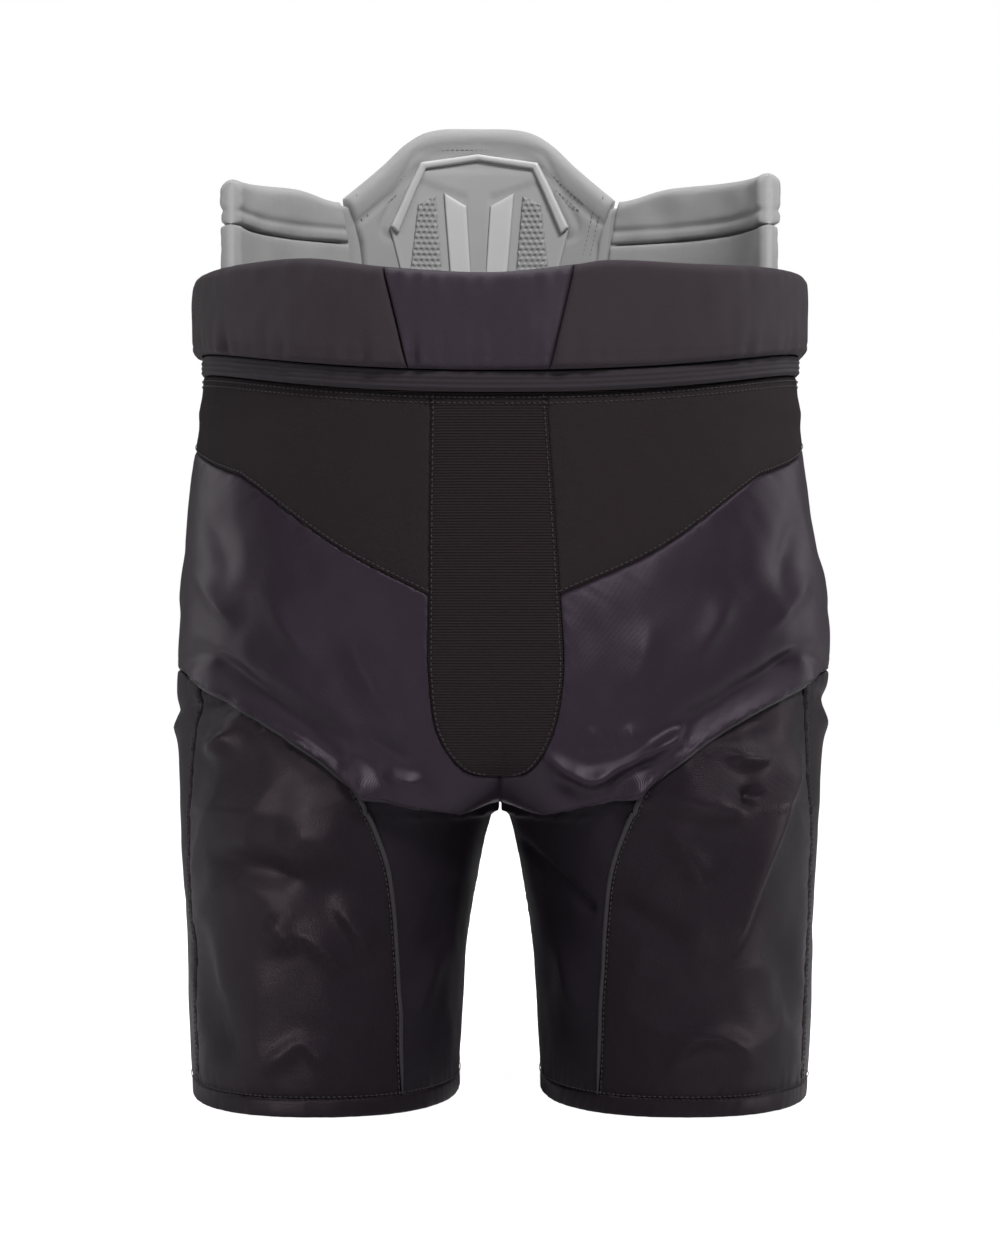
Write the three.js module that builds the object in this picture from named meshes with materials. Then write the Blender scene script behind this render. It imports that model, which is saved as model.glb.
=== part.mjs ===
// Ice hockey pants: padded belt with a floating back protector, stretch front, two padded legs.
// Millimetres, +Z up. The legs stand on z = 0, the front faces -Y, and +X is the wearer's left.
import * as THREE from 'three';

// ---------------------------------------------------------------- driving dimensions
// Heights
const inseam = 187;               // hem to crotch
const hipRise = 93;               // crotch to the widest level
const highHipRise = 163;          // crotch to the level where the sides turn in to the waist
const frontRise = 252;            // crotch to the top of the front yoke
const rollHeight = 12.5;          // elastic roll under the belt
const beltHeight = 66;            // padded belt, front and sides
const sideLift = 20;              // how much the waist line climbs from the front to the sides
const hemBandHeight = 11.5;       // turned and stitched hem

// Half-widths and half-depths of the outside
const hemHalfWidth = 198;
const thighHalfWidth = 206;
const hipHalfWidth = 211.5;
const highHipHalfWidth = 205;
const waistHalfWidth = 192;
const hemHalfDepth = 113;
const thighHalfDepth = 131;
const hipHalfDepth = 143;
const waistHalfDepth = 134;
const hipSetBack = 3;             // the seat sits this far behind the hems
const legGap = 53;                // between the two hems
const beltHalfWidth = 200;
const beltHalfDepth = 146;
const beltTurn = -13;             // the belt's centre front sits off the middle, to the wearer's right
const squareness = 2.3;           // superellipse power of every cross-section

// Thicknesses, from outside to inside
const fabricThickness = 3;        // shell cloth with its quilted foam backing
const beltThickness = 13;
const rollThickness = 9;
const guardThickness = 2.5;       // moulded plastic shells
const foamThickness = 9;
const liningThickness = 1.5;
const backPadThickness = 15;
const capThickness = 2.5;
const trimThickness = 2;

// Clearances
const seamGap = 0.6;              // between the edges of two sewn panels
const layerGap = 2;               // between curved layers that lie on one another
const padGap = 1;                 // between a guard and its foam, which follow the same curve
const flatLayerGap = 0.4;         // between thin layers on the back protector
const tuckGap = 3;                // between the belt and the back protector inside it

// Seams on the front, as distances from the middle and heights over or under the crotch
const gussetEdges = { left: [28, 36, 38, 31], right: [42, 43, 43, 37] };
const gussetFoot = 20;            // foot of the stretch gusset over the crotch
const yokePoint = 131;            // height of the yoke's lower point beside the gusset
const yokeSideDrop = 22;          // yoke border under its top, at the side
const seamSideRise = 85;          // leg panel seam over the crotch, at the side
const stripHalfAngle = 28;        // side strip, degrees each way from the side
const stripDrop = 9;              // the strip's corners sit this far under its top
const backFoldAngle = 120;        // seam between the inner and the rear leg panel
const seatFork = 22;              // where the seat seam starts to turn under, over the crotch

// Protectors inside
const thighGuard = { from: 34, to: 100, bottom: 45, drop: 10 };     // drop is its top under the crotch
const hipGuard = { from: -46, to: 34, bottom: 118, clearTop: 8 };   // bottom is over the crotch
const tailGuard = { halfWidth: 62, bottom: 66, clearTop: 14 };      // bottom is over the crotch
const liningBottom = 114;         // waist lining over the crotch

// Back protector above and inside the belt
const backCentre = -16;
const backCrown = { halfWidth: 37, rise: 126 };       // rise is over the belt's top edge
const backNotch = { halfWidth: 102, rise: 86 };
const backWaistHalfWidth = 90;
const backFootHalfWidth = 80;
const backTuck = 60;              // length tucked down inside the belt
const kidneyRise = 84;            // top of the kidney wings over the belt's top edge
const kidneyRollHeight = 40;
const kidneyEndAngle = 4;
const kidneyGap = 4.4;            // slot at the fold between back pad and wing
const capOutline = [[-68, 56], [-52, 87], [-44, 101], [0, 107], [44, 101], [52, 87], [68, 56]];
const capFoot = { halfWidth: 46, drop: 22 };
const capFrameWidth = 8;
const capStrip = { highIn: [9, 71], highOut: [26, 80], lowIn: [5, 12], lowOut: [20, 12] };
const capPlate = { highIn: [33, 78], highOut: [46, 72], lowIn: [27, 14], lowOut: [52, 26] };

// ---------------------------------------------------------------- derived levels
const hipHeight = inseam + hipRise;
const highHipHeight = inseam + highHipRise;
const waistHeight = inseam + frontRise;
const rollBottom = waistHeight + seamGap;
const beltBottom = rollBottom + rollHeight + seamGap;
const beltTop = beltBottom + beltHeight;
const backFoot = beltTop - backTuck;
const guardInset = fabricThickness + layerGap;
const foamInset = guardInset + guardThickness + padGap;
const liningInset = foamInset + foamThickness + padGap;
const backInset = beltThickness + tuckGap;
const rollInset = (beltThickness - rollThickness) / 2;

// ---------------------------------------------------------------- cross-sections
const degrees = (radians) => radians * 180 / Math.PI;
const radians = (angle) => angle * Math.PI / 180;
const signedPower = (value, power) => Math.sign(value) * Math.abs(value) ** power;

// A smooth curve through [height, value] stations, level beyond the ends.
function profile(stations) {
  const last = stations.length - 1;
  const slope = (k) => {
    const before = stations[Math.max(k - 1, 0)];
    const after = stations[Math.min(k + 1, last)];
    return (after[1] - before[1]) / (after[0] - before[0]);
  };
  return (height) => {
    if (height <= stations[0][0]) return stations[0][1];
    if (height >= stations[last][0]) return stations[last][1];
    const k = stations.findIndex((station) => station[0] > height) - 1;
    const span = stations[k + 1][0] - stations[k][0];
    const t = (height - stations[k][0]) / span;
    const rise = 3 * t * t - 2 * t * t * t;
    const bend = slope(k) * (t - 2 * t * t + t ** 3) + slope(k + 1) * (t ** 3 - t * t);
    return stations[k][1] * (1 - rise) + stations[k + 1][1] * rise + bend * span;
  };
}

const outerWidth = profile([
  [0, hemHalfWidth], [inseam, thighHalfWidth], [hipHeight, hipHalfWidth],
  [highHipHeight, highHipHalfWidth], [waistHeight, waistHalfWidth],
]);
const outerDepth = profile([
  [0, hemHalfDepth], [inseam, thighHalfDepth], [hipHeight, hipHalfDepth], [waistHeight, waistHalfDepth],
]);
const setBack = profile([[0, 0], [hipHeight, hipSetBack], [waistHeight, 0]]);

// The oval of one side at a height: two leg ovals under the crotch, which merge into one torso oval.
function oval(height) {
  const width = outerWidth(height);
  const under = Math.min(Math.max(height / inseam, 0), 1);
  const merged = Math.min(Math.max((height - inseam) / hipRise, 0), 1);
  const legInner = (legGap / 2) * (1 - under ** 1.7) ** 0.65;
  const centre = height < inseam ? (width + legInner) / 2 : (width / 2) * (1 - merged) ** 1.6;
  return { centre, across: width - centre, deep: outerDepth(height), back: setBack(height) };
}

// A point of the outside: angle 0 is the side, 90 the front, 180 the inner side of the leg.
function bodySurface(angle, height) {
  const section = oval(height);
  const x = section.centre + section.across * signedPower(Math.cos(radians(angle)), 2 / squareness);
  const y = section.back - section.deep * signedPower(Math.sin(radians(angle)), 2 / squareness);
  return new THREE.Vector3(x, y, height);
}

function beltSurface(angle, height) {
  const x = beltHalfWidth * signedPower(Math.cos(radians(angle)), 2 / squareness);
  const y = -beltHalfDepth * signedPower(Math.sin(radians(angle)), 2 / squareness);
  return new THREE.Vector3(x, y, height);
}

// The angle at which a section passes a distance from the middle, on the front.
function angleAcross(distance, centre, across) {
  const share = Math.min(Math.max((distance - centre) / across, -1), 1);
  return degrees(Math.acos(signedPower(share, squareness / 2)));
}
const front = (distance, height) => {
  const section = oval(height);
  return [angleAcross(distance, section.centre, section.across), height];
};
const back = (distance, height) => [-front(distance, height)[0], height];
const beltFront = (distance, height) => [angleAcross(distance, 0, beltHalfWidth), height];
const beltBack = (distance, height) => [-angleAcross(distance, 0, beltHalfWidth), height];
const lift = (angle) => sideLift * Math.cos(radians(angle)) ** 2;

function surfaceNormal(surface, angle, height) {
  const step = 0.25;
  const around = surface(angle + step, height).sub(surface(angle - step, height));
  const up = surface(angle, height + step).sub(surface(angle, height - step));
  return up.cross(around).normalize();
}

// ---------------------------------------------------------------- seams and shells
// A seam is a list of [angle, height] points. Panels that share a seam share its points.
function seam(points, steps) {
  const route = points.map(([angle, height]) => new THREE.Vector3(angle, height, 0));
  const curve = new THREE.CatmullRomCurve3(route);
  return curve.getSpacedPoints(steps).map((point) => [point.x, point.y]);
}
// The same for points given as a distance from the middle and a height, on the front or the back.
function seamOn(face, points, steps) {
  return seam(points, steps).map(([distance, height]) => face(distance, height));
}
function straight(from, to, steps) {
  return Array.from({ length: steps + 1 }, (_, k) => [
    from[0] + (to[0] - from[0]) * k / steps,
    from[1] + (to[1] - from[1]) * k / steps,
  ]);
}
const join = (first, second) => [...first, ...second.slice(1)];
const reversed = (points) => [...points].reverse();
const lastOf = (points) => points[points.length - 1];

// Fills the patch between four seams. start and end run from the top seam to the bottom one.
function fill(top, bottom, start, end) {
  const rows = start.length - 1;
  const columns = top.length - 1;
  const corner = [top[0], top[columns], bottom[0], bottom[columns]];
  return start.map((_, i) => top.map((__, j) => {
    const down = i / rows;
    const along = j / columns;
    return [0, 1].map((k) => (1 - down) * top[j][k] + down * bottom[j][k]
      + (1 - along) * start[i][k] + along * end[i][k]
      - (1 - down) * ((1 - along) * corner[0][k] + along * corner[1][k])
      - down * ((1 - along) * corner[2][k] + along * corner[3][k]));
  }));
}

// The same fill on the torso, level by level across the body, so that no point passes the middle.
function fillTorso(face, top, bottom, start, end) {
  const across = (points) => points.map(([angle, height]) => (
    [bodySurface(angle, height).x / outerWidth(height), height]));
  return fill(across(top), across(bottom), across(start), across(end))
    .map((row) => row.map(([share, height]) => face(share * outerWidth(height), height)));
}

// Turns faces outward where the signed volume says that they face in.
function closedGeometry(points, faces) {
  const volume = faces.reduce((sum, [a, b, c]) => (
    sum + points[a].dot(new THREE.Vector3().crossVectors(points[b], points[c]))), 0);
  const ordered = volume > 0 ? faces : faces.map(([a, b, c]) => [a, c, b]);
  const geometry = new THREE.BufferGeometry();
  geometry.setAttribute('position', new THREE.Float32BufferAttribute(points.flatMap((p) => p.toArray()), 3));
  geometry.setIndex(ordered.flat());
  geometry.computeVertexNormals();
  return geometry;
}

// A closed shell over a grid of surface points, between two insets under the surface.
// side -1 mirrors it. A ring grid closes on itself, so it has no side rims. level keeps the rims level.
function shell(surface, grid, { inset = 0, thickness, side = 1, gap = seamGap, ring = false, level = false }) {
  const rows = grid.length;
  const columns = grid[0].length;
  const places = grid.map((row) => row.map(([angle, height]) => surface(angle, height)));
  const pull = (point, neighbour) => {
    const step = neighbour.clone().sub(point);
    return step.setLength(Math.min(gap / 2, step.length() / 3));
  };
  const points = [[], []];
  grid.forEach((row, i) => row.forEach(([angle, height], j) => {
    const place = places[i][j].clone();
    if (i === 0) place.add(pull(places[0][j], places[1][j]));
    if (i === rows - 1) place.add(pull(places[i][j], places[i - 1][j]));
    if (!ring && j === 0) place.add(pull(places[i][0], places[i][1]));
    if (!ring && j === columns - 1) place.add(pull(places[i][j], places[i][j - 1]));
    const normal = surfaceNormal(surface, angle, height);
    if (level) normal.setZ(0).normalize();
    [inset, inset + thickness].forEach((depth, layer) => {
      const point = place.clone().addScaledVector(normal, -depth);
      point.x *= side;
      points[layer].push(point);
    });
  }));
  const count = rows * columns;
  const at = (layer, i, j) => layer * count + i * columns + (j % columns);
  const faces = [];
  const quad = (a, b, c, d) => faces.push([a, b, c], [a, c, d]);
  const lastColumn = ring ? columns : columns - 1;
  for (let i = 0; i < rows - 1; i += 1) {
    for (let j = 0; j < lastColumn; j += 1) {
      quad(at(0, i, j), at(0, i, j + 1), at(0, i + 1, j + 1), at(0, i + 1, j));
      quad(at(1, i, j), at(1, i + 1, j), at(1, i + 1, j + 1), at(1, i, j + 1));
    }
  }
  for (let j = 0; j < lastColumn; j += 1) {
    quad(at(0, 0, j), at(1, 0, j), at(1, 0, j + 1), at(0, 0, j + 1));
    quad(at(0, rows - 1, j), at(0, rows - 1, j + 1), at(1, rows - 1, j + 1), at(1, rows - 1, j));
  }
  for (let i = 0; !ring && i < rows - 1; i += 1) {
    quad(at(0, i, 0), at(0, i + 1, 0), at(1, i + 1, 0), at(1, i, 0));
    quad(at(0, i, columns - 1), at(1, i, columns - 1), at(1, i + 1, columns - 1), at(0, i + 1, columns - 1));
  }
  return closedGeometry([...points[0], ...points[1]], faces);
}

// ---------------------------------------------------------------- materials and assembly
function material(color, roughness, metalness = 0) {
  return new THREE.MeshStandardMaterial({ color, roughness, metalness });
}
const stretchCloth = material(0x2b2626, 0.9);
const ribKnit = material(0x292425, 0.95);
const satin = material(0x352f38, 0.5);
const twill = material(0x2c2728, 0.6);
const beltCloth = material(0x3a3436, 0.7);
const lining = material(0x4a474a, 0.85);
const greyCloth = material(0x8d8d8d, 0.8);
const greyPlastic = material(0x7c7c7c, 0.45);
const palePlastic = material(0xbebebe, 0.4);
const guardPlastic = material(0x1e1e20, 0.5);
const foam = material(0x555257, 0.95);

const group = new THREE.Group();
function add(name, geometry, look) {
  const mesh = new THREE.Mesh(geometry, look);
  mesh.name = name;
  group.add(mesh);
}
const sides = [{ name: 'left', side: 1 }, { name: 'right', side: -1 }];

// ---------------------------------------------------------------- shared seams of one side
const frontSteps = { side: 4, seam: 8, crease: 6 };
const backSteps = { side: 4, fold: 8, inner: 6 };
const borderSideSteps = 4;
const yokeColumns = frontSteps.side + frontSteps.seam;
const seatColumns = backSteps.side + backSteps.fold;
const yokeRows = 4;
const thighRows = 7;
const legRows = 7;
const hemLine = hemBandHeight + seamGap;

// The line along the middle of the body, where the left and right panels meet.
const middleLine = (face, high, low, steps) => straight([0, high], [0, low], steps)
  .map(([, height]) => face(0, height));

function sideSeams(name) {
  const edges = gussetEdges[name];
  const gussetTop = [front(edges[0], waistHeight)[0], waistHeight];
  const yokeLow = [edges[1], inseam + yokePoint];
  const waistSide = [0, waistHeight + sideLift];
  const yokeSide = [0, waistHeight - yokeSideDrop];
  const legSide = [0, inseam + seamSideRise];
  const stripEnd = inseam + seamSideRise - stripDrop;
  const stripFront = [stripHalfAngle, stripEnd];
  const stripBack = [-stripHalfAngle, stripEnd];
  const creaseCorner = [88, inseam + 15];
  const foldCorner = [-backFoldAngle, inseam - 8];
  const seatTop = inseam + yokePoint + 12;
  const waistLine = (from, steps) => straight(from, waistSide, steps)
    .map(([angle]) => [angle, waistHeight + lift(angle)]);
  const sideX = (angle, height) => bodySurface(angle, height).x;
  return {
    frontWaist: waistLine(gussetTop, yokeColumns),
    backWaist: waistLine(back(0, waistHeight), seatColumns),
    gussetSide: straight(gussetTop, front(...yokeLow), yokeRows),
    gussetEdge: seamOn(front, [yokeLow, [edges[2], inseam + 83], [edges[3], inseam + 45],
      [edges[3] * 0.55, inseam + gussetFoot + 4], [0, inseam + gussetFoot]], frontSteps.crease),
    centreFront: middleLine(front, inseam + gussetFoot, inseam, thighRows),
    yokeBorder: join(seamOn(front, [yokeLow, [97, inseam + 159], [160, inseam + 205]],
      yokeColumns - borderSideSteps), straight(front(160, inseam + 205), yokeSide, borderSideSteps)),
    waistEnd: straight(waistSide, yokeSide, yokeRows),
    sideSeam: straight(yokeSide, legSide, thighRows),
    stripTopFront: seam([legSide, [stripHalfAngle / 2, stripEnd + stripDrop * 0.7], stripFront],
      frontSteps.side),
    legSeam: seamOn(front, [[sideX(...stripFront), stripEnd], [146, inseam + 54], [109, inseam + 31],
      creaseCorner], frontSteps.seam),
    crease: seamOn(front, [creaseCorner, [60, inseam + 11], [30, inseam + 8], [10, inseam + 4],
      [0, inseam]], frontSteps.crease),
    legSeamDown: seamOn(front, [creaseCorner, [75, inseam - 12], [67, inseam - 40],
      [62, inseam - 110], [60, hemLine]], legRows),
    stripTopBack: seam([legSide, [-stripHalfAngle / 2, stripEnd + stripDrop * 0.7], stripBack],
      backSteps.side),
    backFold: seam([stripBack, [-55, inseam + 44], [-85, inseam + 8], foldCorner], backSteps.fold),
    innerFold: seam([foldCorner, [-150, inseam - 3.5], [-180, inseam]], backSteps.inner),
    seatSeam: middleLine(back, seatTop, inseam + seatFork, backSteps.inner),
    centreBack: middleLine(back, inseam + seatFork, inseam, thighRows),
    seatBorder: join(seamOn(back, [[0, seatTop], [70, seatTop + 4], [150, inseam + 190]],
      seatColumns - borderSideSteps), straight(back(150, inseam + 190), yokeSide, borderSideSteps)),
    seatYokeMiddle: middleLine(back, waistHeight, seatTop, yokeRows),
    stripFrontDown: straight(stripFront, [stripHalfAngle, hemLine], legRows),
    stripBackDown: straight(stripBack, [-stripHalfAngle, hemLine], legRows),
    innerBackDown: straight(foldCorner, [-backFoldAngle, hemLine], legRows),
    inseamFrontDown: straight([180, inseam], [180, hemLine], legRows),
    inseamBackDown: straight([-180, inseam], [-180, hemLine], legRows),
  };
}

const crotchSeamGap = 3.4;        // the crotch turns sharply here, so its seam is wider

// The level line under a panel, with the panel's own columns.
const hemUnder = (topSeam, from, to) => straight([from[0], hemLine], [to[0], hemLine], topSeam.length - 1);
const sewn = (side) => ({ thickness: fabricThickness, side });

// ---------------------------------------------------------------- torso panels
function torsoPanels(name, side, lines) {
  add(`yoke_${name}`, shell(bodySurface,
    fillTorso(front, lines.frontWaist, lines.yokeBorder, lines.gussetSide, lines.waistEnd),
    sewn(side)), stretchCloth);
  const thighHead = join(reversed(lines.gussetEdge), lines.yokeBorder);
  const thighFoot = [lines.crease, lines.legSeam, lines.stripTopFront].map(reversed).reduce(join);
  add(`thigh_panel_${name}`, shell(bodySurface,
    fillTorso(front, thighHead, thighFoot, lines.centreFront, lines.sideSeam), sewn(side)), satin);
  const seatHead = join(reversed(lines.seatSeam), lines.seatBorder);
  const seatFoot = [lines.innerFold, lines.backFold, lines.stripTopBack].map(reversed).reduce(join);
  add(`seat_panel_${name}`, shell(bodySurface,
    fillTorso(back, seatHead, seatFoot, lines.centreBack, lines.sideSeam), sewn(side)), satin);
  add(`seat_yoke_${name}`, shell(bodySurface,
    fillTorso(back, lines.backWaist, lines.seatBorder, lines.seatYokeMiddle, lines.waistEnd),
    sewn(side)), twill);
}

// The gusset takes its edges from both sides' seams. Its negative distances lie on the mirrored side.
function frontGusset(left, right) {
  const edge = (lines) => join(lines.gussetSide, lines.gussetEdge).map(([angle, height]) => (
    [bodySurface(angle, height).x, height]));
  const leftEdge = edge(left);
  const rightEdge = edge(right);
  const acrossCount = 6;
  const grid = leftEdge.slice(0, -1).map(([leftX, height], i) => (
    straight([leftX, height], [-rightEdge[i][0], rightEdge[i][1]], acrossCount)));
  const surface = (x, height) => {
    const point = bodySurface(front(Math.abs(x), height)[0], height);
    point.x = x;
    return point;
  };
  // This surface runs from right to left, so its insets count outwards.
  add('front_gusset', shell(surface, grid, { inset: -fabricThickness, thickness: fabricThickness }), ribKnit);
}

// ---------------------------------------------------------------- legs
function legPanels(name, side, lines) {
  const twillTop = lines.legSeam;
  add(`leg_front_${name}`, shell(bodySurface,
    fill(twillTop, hemUnder(twillTop, twillTop[0], lastOf(lines.legSeamDown)),
      lines.stripFrontDown, lines.legSeamDown), sewn(side)), twill);
  const stripTop = join(reversed(lines.stripTopFront), lines.stripTopBack);
  add(`side_strip_${name}`, shell(bodySurface,
    fill(stripTop, hemUnder(stripTop, stripTop[0], lastOf(stripTop)),
      lines.stripFrontDown, lines.stripBackDown), sewn(side)), twill);
  add(`inner_front_${name}`, shell(bodySurface,
    fill(lines.crease, hemUnder(lines.crease, lastOf(lines.legSeamDown), [180]),
      lines.legSeamDown, lines.inseamFrontDown), sewn(side)), satin);
  add(`inner_back_${name}`, shell(bodySurface,
    fill(lines.innerFold, hemUnder(lines.innerFold, lines.innerFold[0], [-180]),
      lines.innerBackDown, lines.inseamBackDown), { ...sewn(side), gap: crotchSeamGap }), satin);
  add(`leg_back_${name}`, shell(bodySurface,
    fill(lines.backFold, hemUnder(lines.backFold, lines.backFold[0], lastOf(lines.backFold)),
      lines.stripBackDown, lines.innerBackDown), sewn(side)), twill);
}

const ringRow = (height, count) => Array.from({ length: count }, (_, k) => [k * 360 / count - 180, height]);
const evenLevels = (high, low, steps) => straight([0, high], [0, low], steps).map(([, height]) => height);
const ringRows = (heights, count) => heights.map((height) => ringRow(height, count));

function hemBand(name, side) {
  add(`hem_band_${name}`, shell(bodySurface, ringRows([hemBandHeight, 0], 36),
    { thickness: fabricThickness, side, gap: 0, ring: true, level: true }), twill);
}

function legLining(name, side) {
  const levels = evenLevels(inseam - 14, hemBandHeight + 4, 4);
  add(`leg_lining_${name}`, shell(bodySurface, ringRows(levels, 24),
    { inset: liningInset, thickness: liningThickness, side, gap: 0, ring: true }), lining);
}

// A rectangular piece of a surface, between two angles and two heights.
function rectangle(fromAngle, toAngle, low, high, columns, rows) {
  const row = (height) => straight([fromAngle, height], [toAngle, height], columns);
  return straight([0, high], [0, low], rows).map(([, height]) => row(height));
}

// ---------------------------------------------------------------- protectors inside
function guards(name, side) {
  const hipTop = waistHeight - hipGuard.clearTop;
  const thigh = rectangle(thighGuard.from, thighGuard.to, thighGuard.bottom,
    inseam - thighGuard.drop, 7, 6);
  const hip = rectangle(hipGuard.from, hipGuard.to, inseam + hipGuard.bottom, hipTop, 7, 5);
  const plate = { inset: guardInset, thickness: guardThickness, side };
  const pad = { inset: foamInset, thickness: foamThickness, side };
  add(`thigh_guard_${name}`, shell(bodySurface, thigh, plate), guardPlastic);
  add(`thigh_foam_${name}`, shell(bodySurface, thigh, pad), foam);
  add(`hip_guard_${name}`, shell(bodySurface, hip, plate), guardPlastic);
  add(`hip_foam_${name}`, shell(bodySurface, hip, pad), foam);
}

function tailbone() {
  const low = inseam + tailGuard.bottom;
  const high = waistHeight - tailGuard.clearTop;
  const grid = straight([0, high], [0, low], 5).map(([, height]) => (
    straight([-tailGuard.halfWidth, height], [tailGuard.halfWidth, height], 8)));
  const surface = (x, height) => {
    const point = bodySurface(back(Math.abs(x), height)[0], height);
    point.x = x;
    return point;
  };
  add('tailbone_guard', shell(surface, grid, { inset: guardInset, thickness: guardThickness }), guardPlastic);
  add('tailbone_foam', shell(surface, grid, { inset: foamInset, thickness: foamThickness }), foam);
}

function waistLining() {
  const low = inseam + liningBottom;
  const high = waistHeight - hipGuard.clearTop;
  add('waist_lining', shell(bodyRing, ringRows(evenLevels(high, low, 5), 32),
    { inset: liningInset, thickness: liningThickness, gap: 0, ring: true }), lining);
}

// The torso as one ring: both halves of the outside, all the way round.
function bodyRing(angle, height) {
  const point = bodySurface(90 - Math.abs(90 - Math.abs(angle)), height);
  if (angle < 0) point.y = 2 * oval(height).back - point.y;
  if (Math.abs(angle) > 90) point.x = -point.x;
  return point;
}

// ---------------------------------------------------------------- belt and roll
const frontPanelHalf = { top: 58, bottom: 43 };
const backPanelHalf = 70;
const beltColumns = { front: 6, wing: 14, back: 8 };

// A level row of the waist at a share of the way from the belt's bottom edge to its top edge.
const waistRow = (bottom, high, share, from, to, columns) => straight([from, 0], [to, 0], columns)
  .map(([angle]) => [angle, bottom + (high - bottom) * share + lift(angle) * (1 - share)]);

// Angles run from the left side over the front, where they pass 90, to the right side and the back.
const beltAngle = (x) => (x >= 0 ? beltFront(x, 0)[0] : 180 - beltFront(-x, 0)[0]);

function belt() {
  const seamAngle = (end, share) => {
    const half = frontPanelHalf.bottom + (frontPanelHalf.top - frontPanelHalf.bottom) * share;
    return beltAngle(beltTurn + end * half);
  };
  const backSeam = beltAngle(backPanelHalf);
  const grid = (from, to, columns) => [1, 0.5, 0].map((share) => (
    waistRow(beltBottom, beltTop, share, from(share), to(share), columns)));
  const leftSeam = (share) => seamAngle(1, share);
  const rightSeam = (share) => seamAngle(-1, share);
  const piece = (name, from, to, columns, look) => (
    add(name, shell(beltSurface, grid(from, to, columns), { thickness: beltThickness }), look));
  piece('belt_front', leftSeam, rightSeam, beltColumns.front, satin);
  piece('belt_wing_left', () => -backSeam, leftSeam, beltColumns.wing, beltCloth);
  piece('belt_wing_right', rightSeam, () => 180 + backSeam, beltColumns.wing, beltCloth);
  piece('belt_back', () => backSeam - 180, () => -backSeam, beltColumns.back, beltCloth);
}

function waistRoll() {
  const grid = (from, to) => [1, 0].map((share) => (
    waistRow(rollBottom, rollBottom + rollHeight, 1, from, to, 16)
      .map(([angle]) => [angle, rollBottom + rollHeight * share + lift(angle)])));
  const look = { inset: rollInset, thickness: rollThickness };
  add('waist_roll_front', shell(beltSurface, grid(0, 180), look), ribKnit);
  add('waist_roll_back', shell(beltSurface, grid(-180, 0), look), ribKnit);
}

// ---------------------------------------------------------------- back protector
// The inner face of the belt at the back. Across is the distance from the protector's own middle.
function backSurface(across, height) {
  const x = backCentre + across;
  const angle = beltBack(Math.abs(x), height)[0];
  const point = beltSurface(angle, height);
  point.x = x;
  return point;
}
const mirrorX = (points) => reversed(points).map(([x, height]) => [-x, height]);
// Points at even steps along a broken line, which keeps its corners when steps is a list.
const along = (corners, steps) => corners.slice(1)
  .map((corner, k) => straight(corners[k], corner, steps[k])).reduce(join);

function backPad() {
  const crown = [backCrown.halfWidth, beltTop + backCrown.rise];
  const notch = [backNotch.halfWidth, beltTop + backNotch.rise];
  const waist = [backWaistHalfWidth, beltTop + backNotch.rise / 2];
  const foot = [backFootHalfWidth, backFoot];
  const rightHalf = along([[0, crown[1]], crown, notch], [2, 3]);
  const top = join(mirrorX(rightHalf), rightHalf);
  const end = along([notch, waist, foot], [2, 4]);
  const start = end.map(([x, height]) => [-x, height]);
  const bottom = straight([-foot[0], foot[1]], foot, top.length - 1);
  add('back_pad', shell(backSurface, fill(top, bottom, start, end),
    { inset: backInset, thickness: backPadThickness }), greyCloth);
}

// Pieces on the pad's inner face, each at its depth under the belt's outside.
function backCap() {
  const face = backInset + backPadThickness + flatLayerGap;
  const onCap = face + capThickness + flatLayerGap;
  const level = (points) => points.map(([x, rise]) => [x, beltTop + rise]);
  const topEdge = level(capOutline);
  const foot = [capFoot.halfWidth, beltTop - capFoot.drop];
  const steps = [2, 1, 2, 2, 1, 2];
  const capTop = along(topEdge, steps);
  const sideDown = straight(lastOf(capTop), foot, 4);
  const capStart = sideDown.map(([x, height]) => [-x, height]);
  const capBottom = straight([-foot[0], foot[1]], foot, capTop.length - 1);
  add('back_cap', shell(backSurface, fill(capTop, capBottom, capStart, sideDown),
    { inset: face, thickness: capThickness }), greyPlastic);

  const inner = capTop.map(([x, height]) => [
    x * (1 - capFrameWidth / topEdge[topEdge.length - 1][0]), height - capFrameWidth * 0.8]);
  add('cap_frame', shell(backSurface, [capTop, inner], { inset: onCap, thickness: trimThickness + 1, gap: 2 }),
    greyPlastic);

  const panel = (corners, rows, columns) => {
    const [highIn, highOut, lowIn, lowOut] = level(corners);
    return straight([0, 0], [0, 1], rows).map(([, share]) => straight(
      [highIn[0] + (lowIn[0] - highIn[0]) * share, highIn[1] + (lowIn[1] - highIn[1]) * share],
      [highOut[0] + (lowOut[0] - highOut[0]) * share, highOut[1] + (lowOut[1] - highOut[1]) * share],
      columns));
  };
  for (const { name, side } of sides) {
    const turned = (corners) => corners.map(([x, rise]) => [x * side, rise]);
    add(`cap_strip_${name}`, shell(backSurface, panel(turned([capStrip.highIn, capStrip.highOut,
      capStrip.lowIn, capStrip.lowOut]), 4, 1), { inset: onCap, thickness: trimThickness }), palePlastic);
    add(`cap_plate_${name}`, shell(backSurface, panel(turned([capPlate.highIn, capPlate.highOut,
      capPlate.lowIn, capPlate.lowOut]), 4, 2), { inset: onCap, thickness: trimThickness }), greyPlastic);
  }
}

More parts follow.
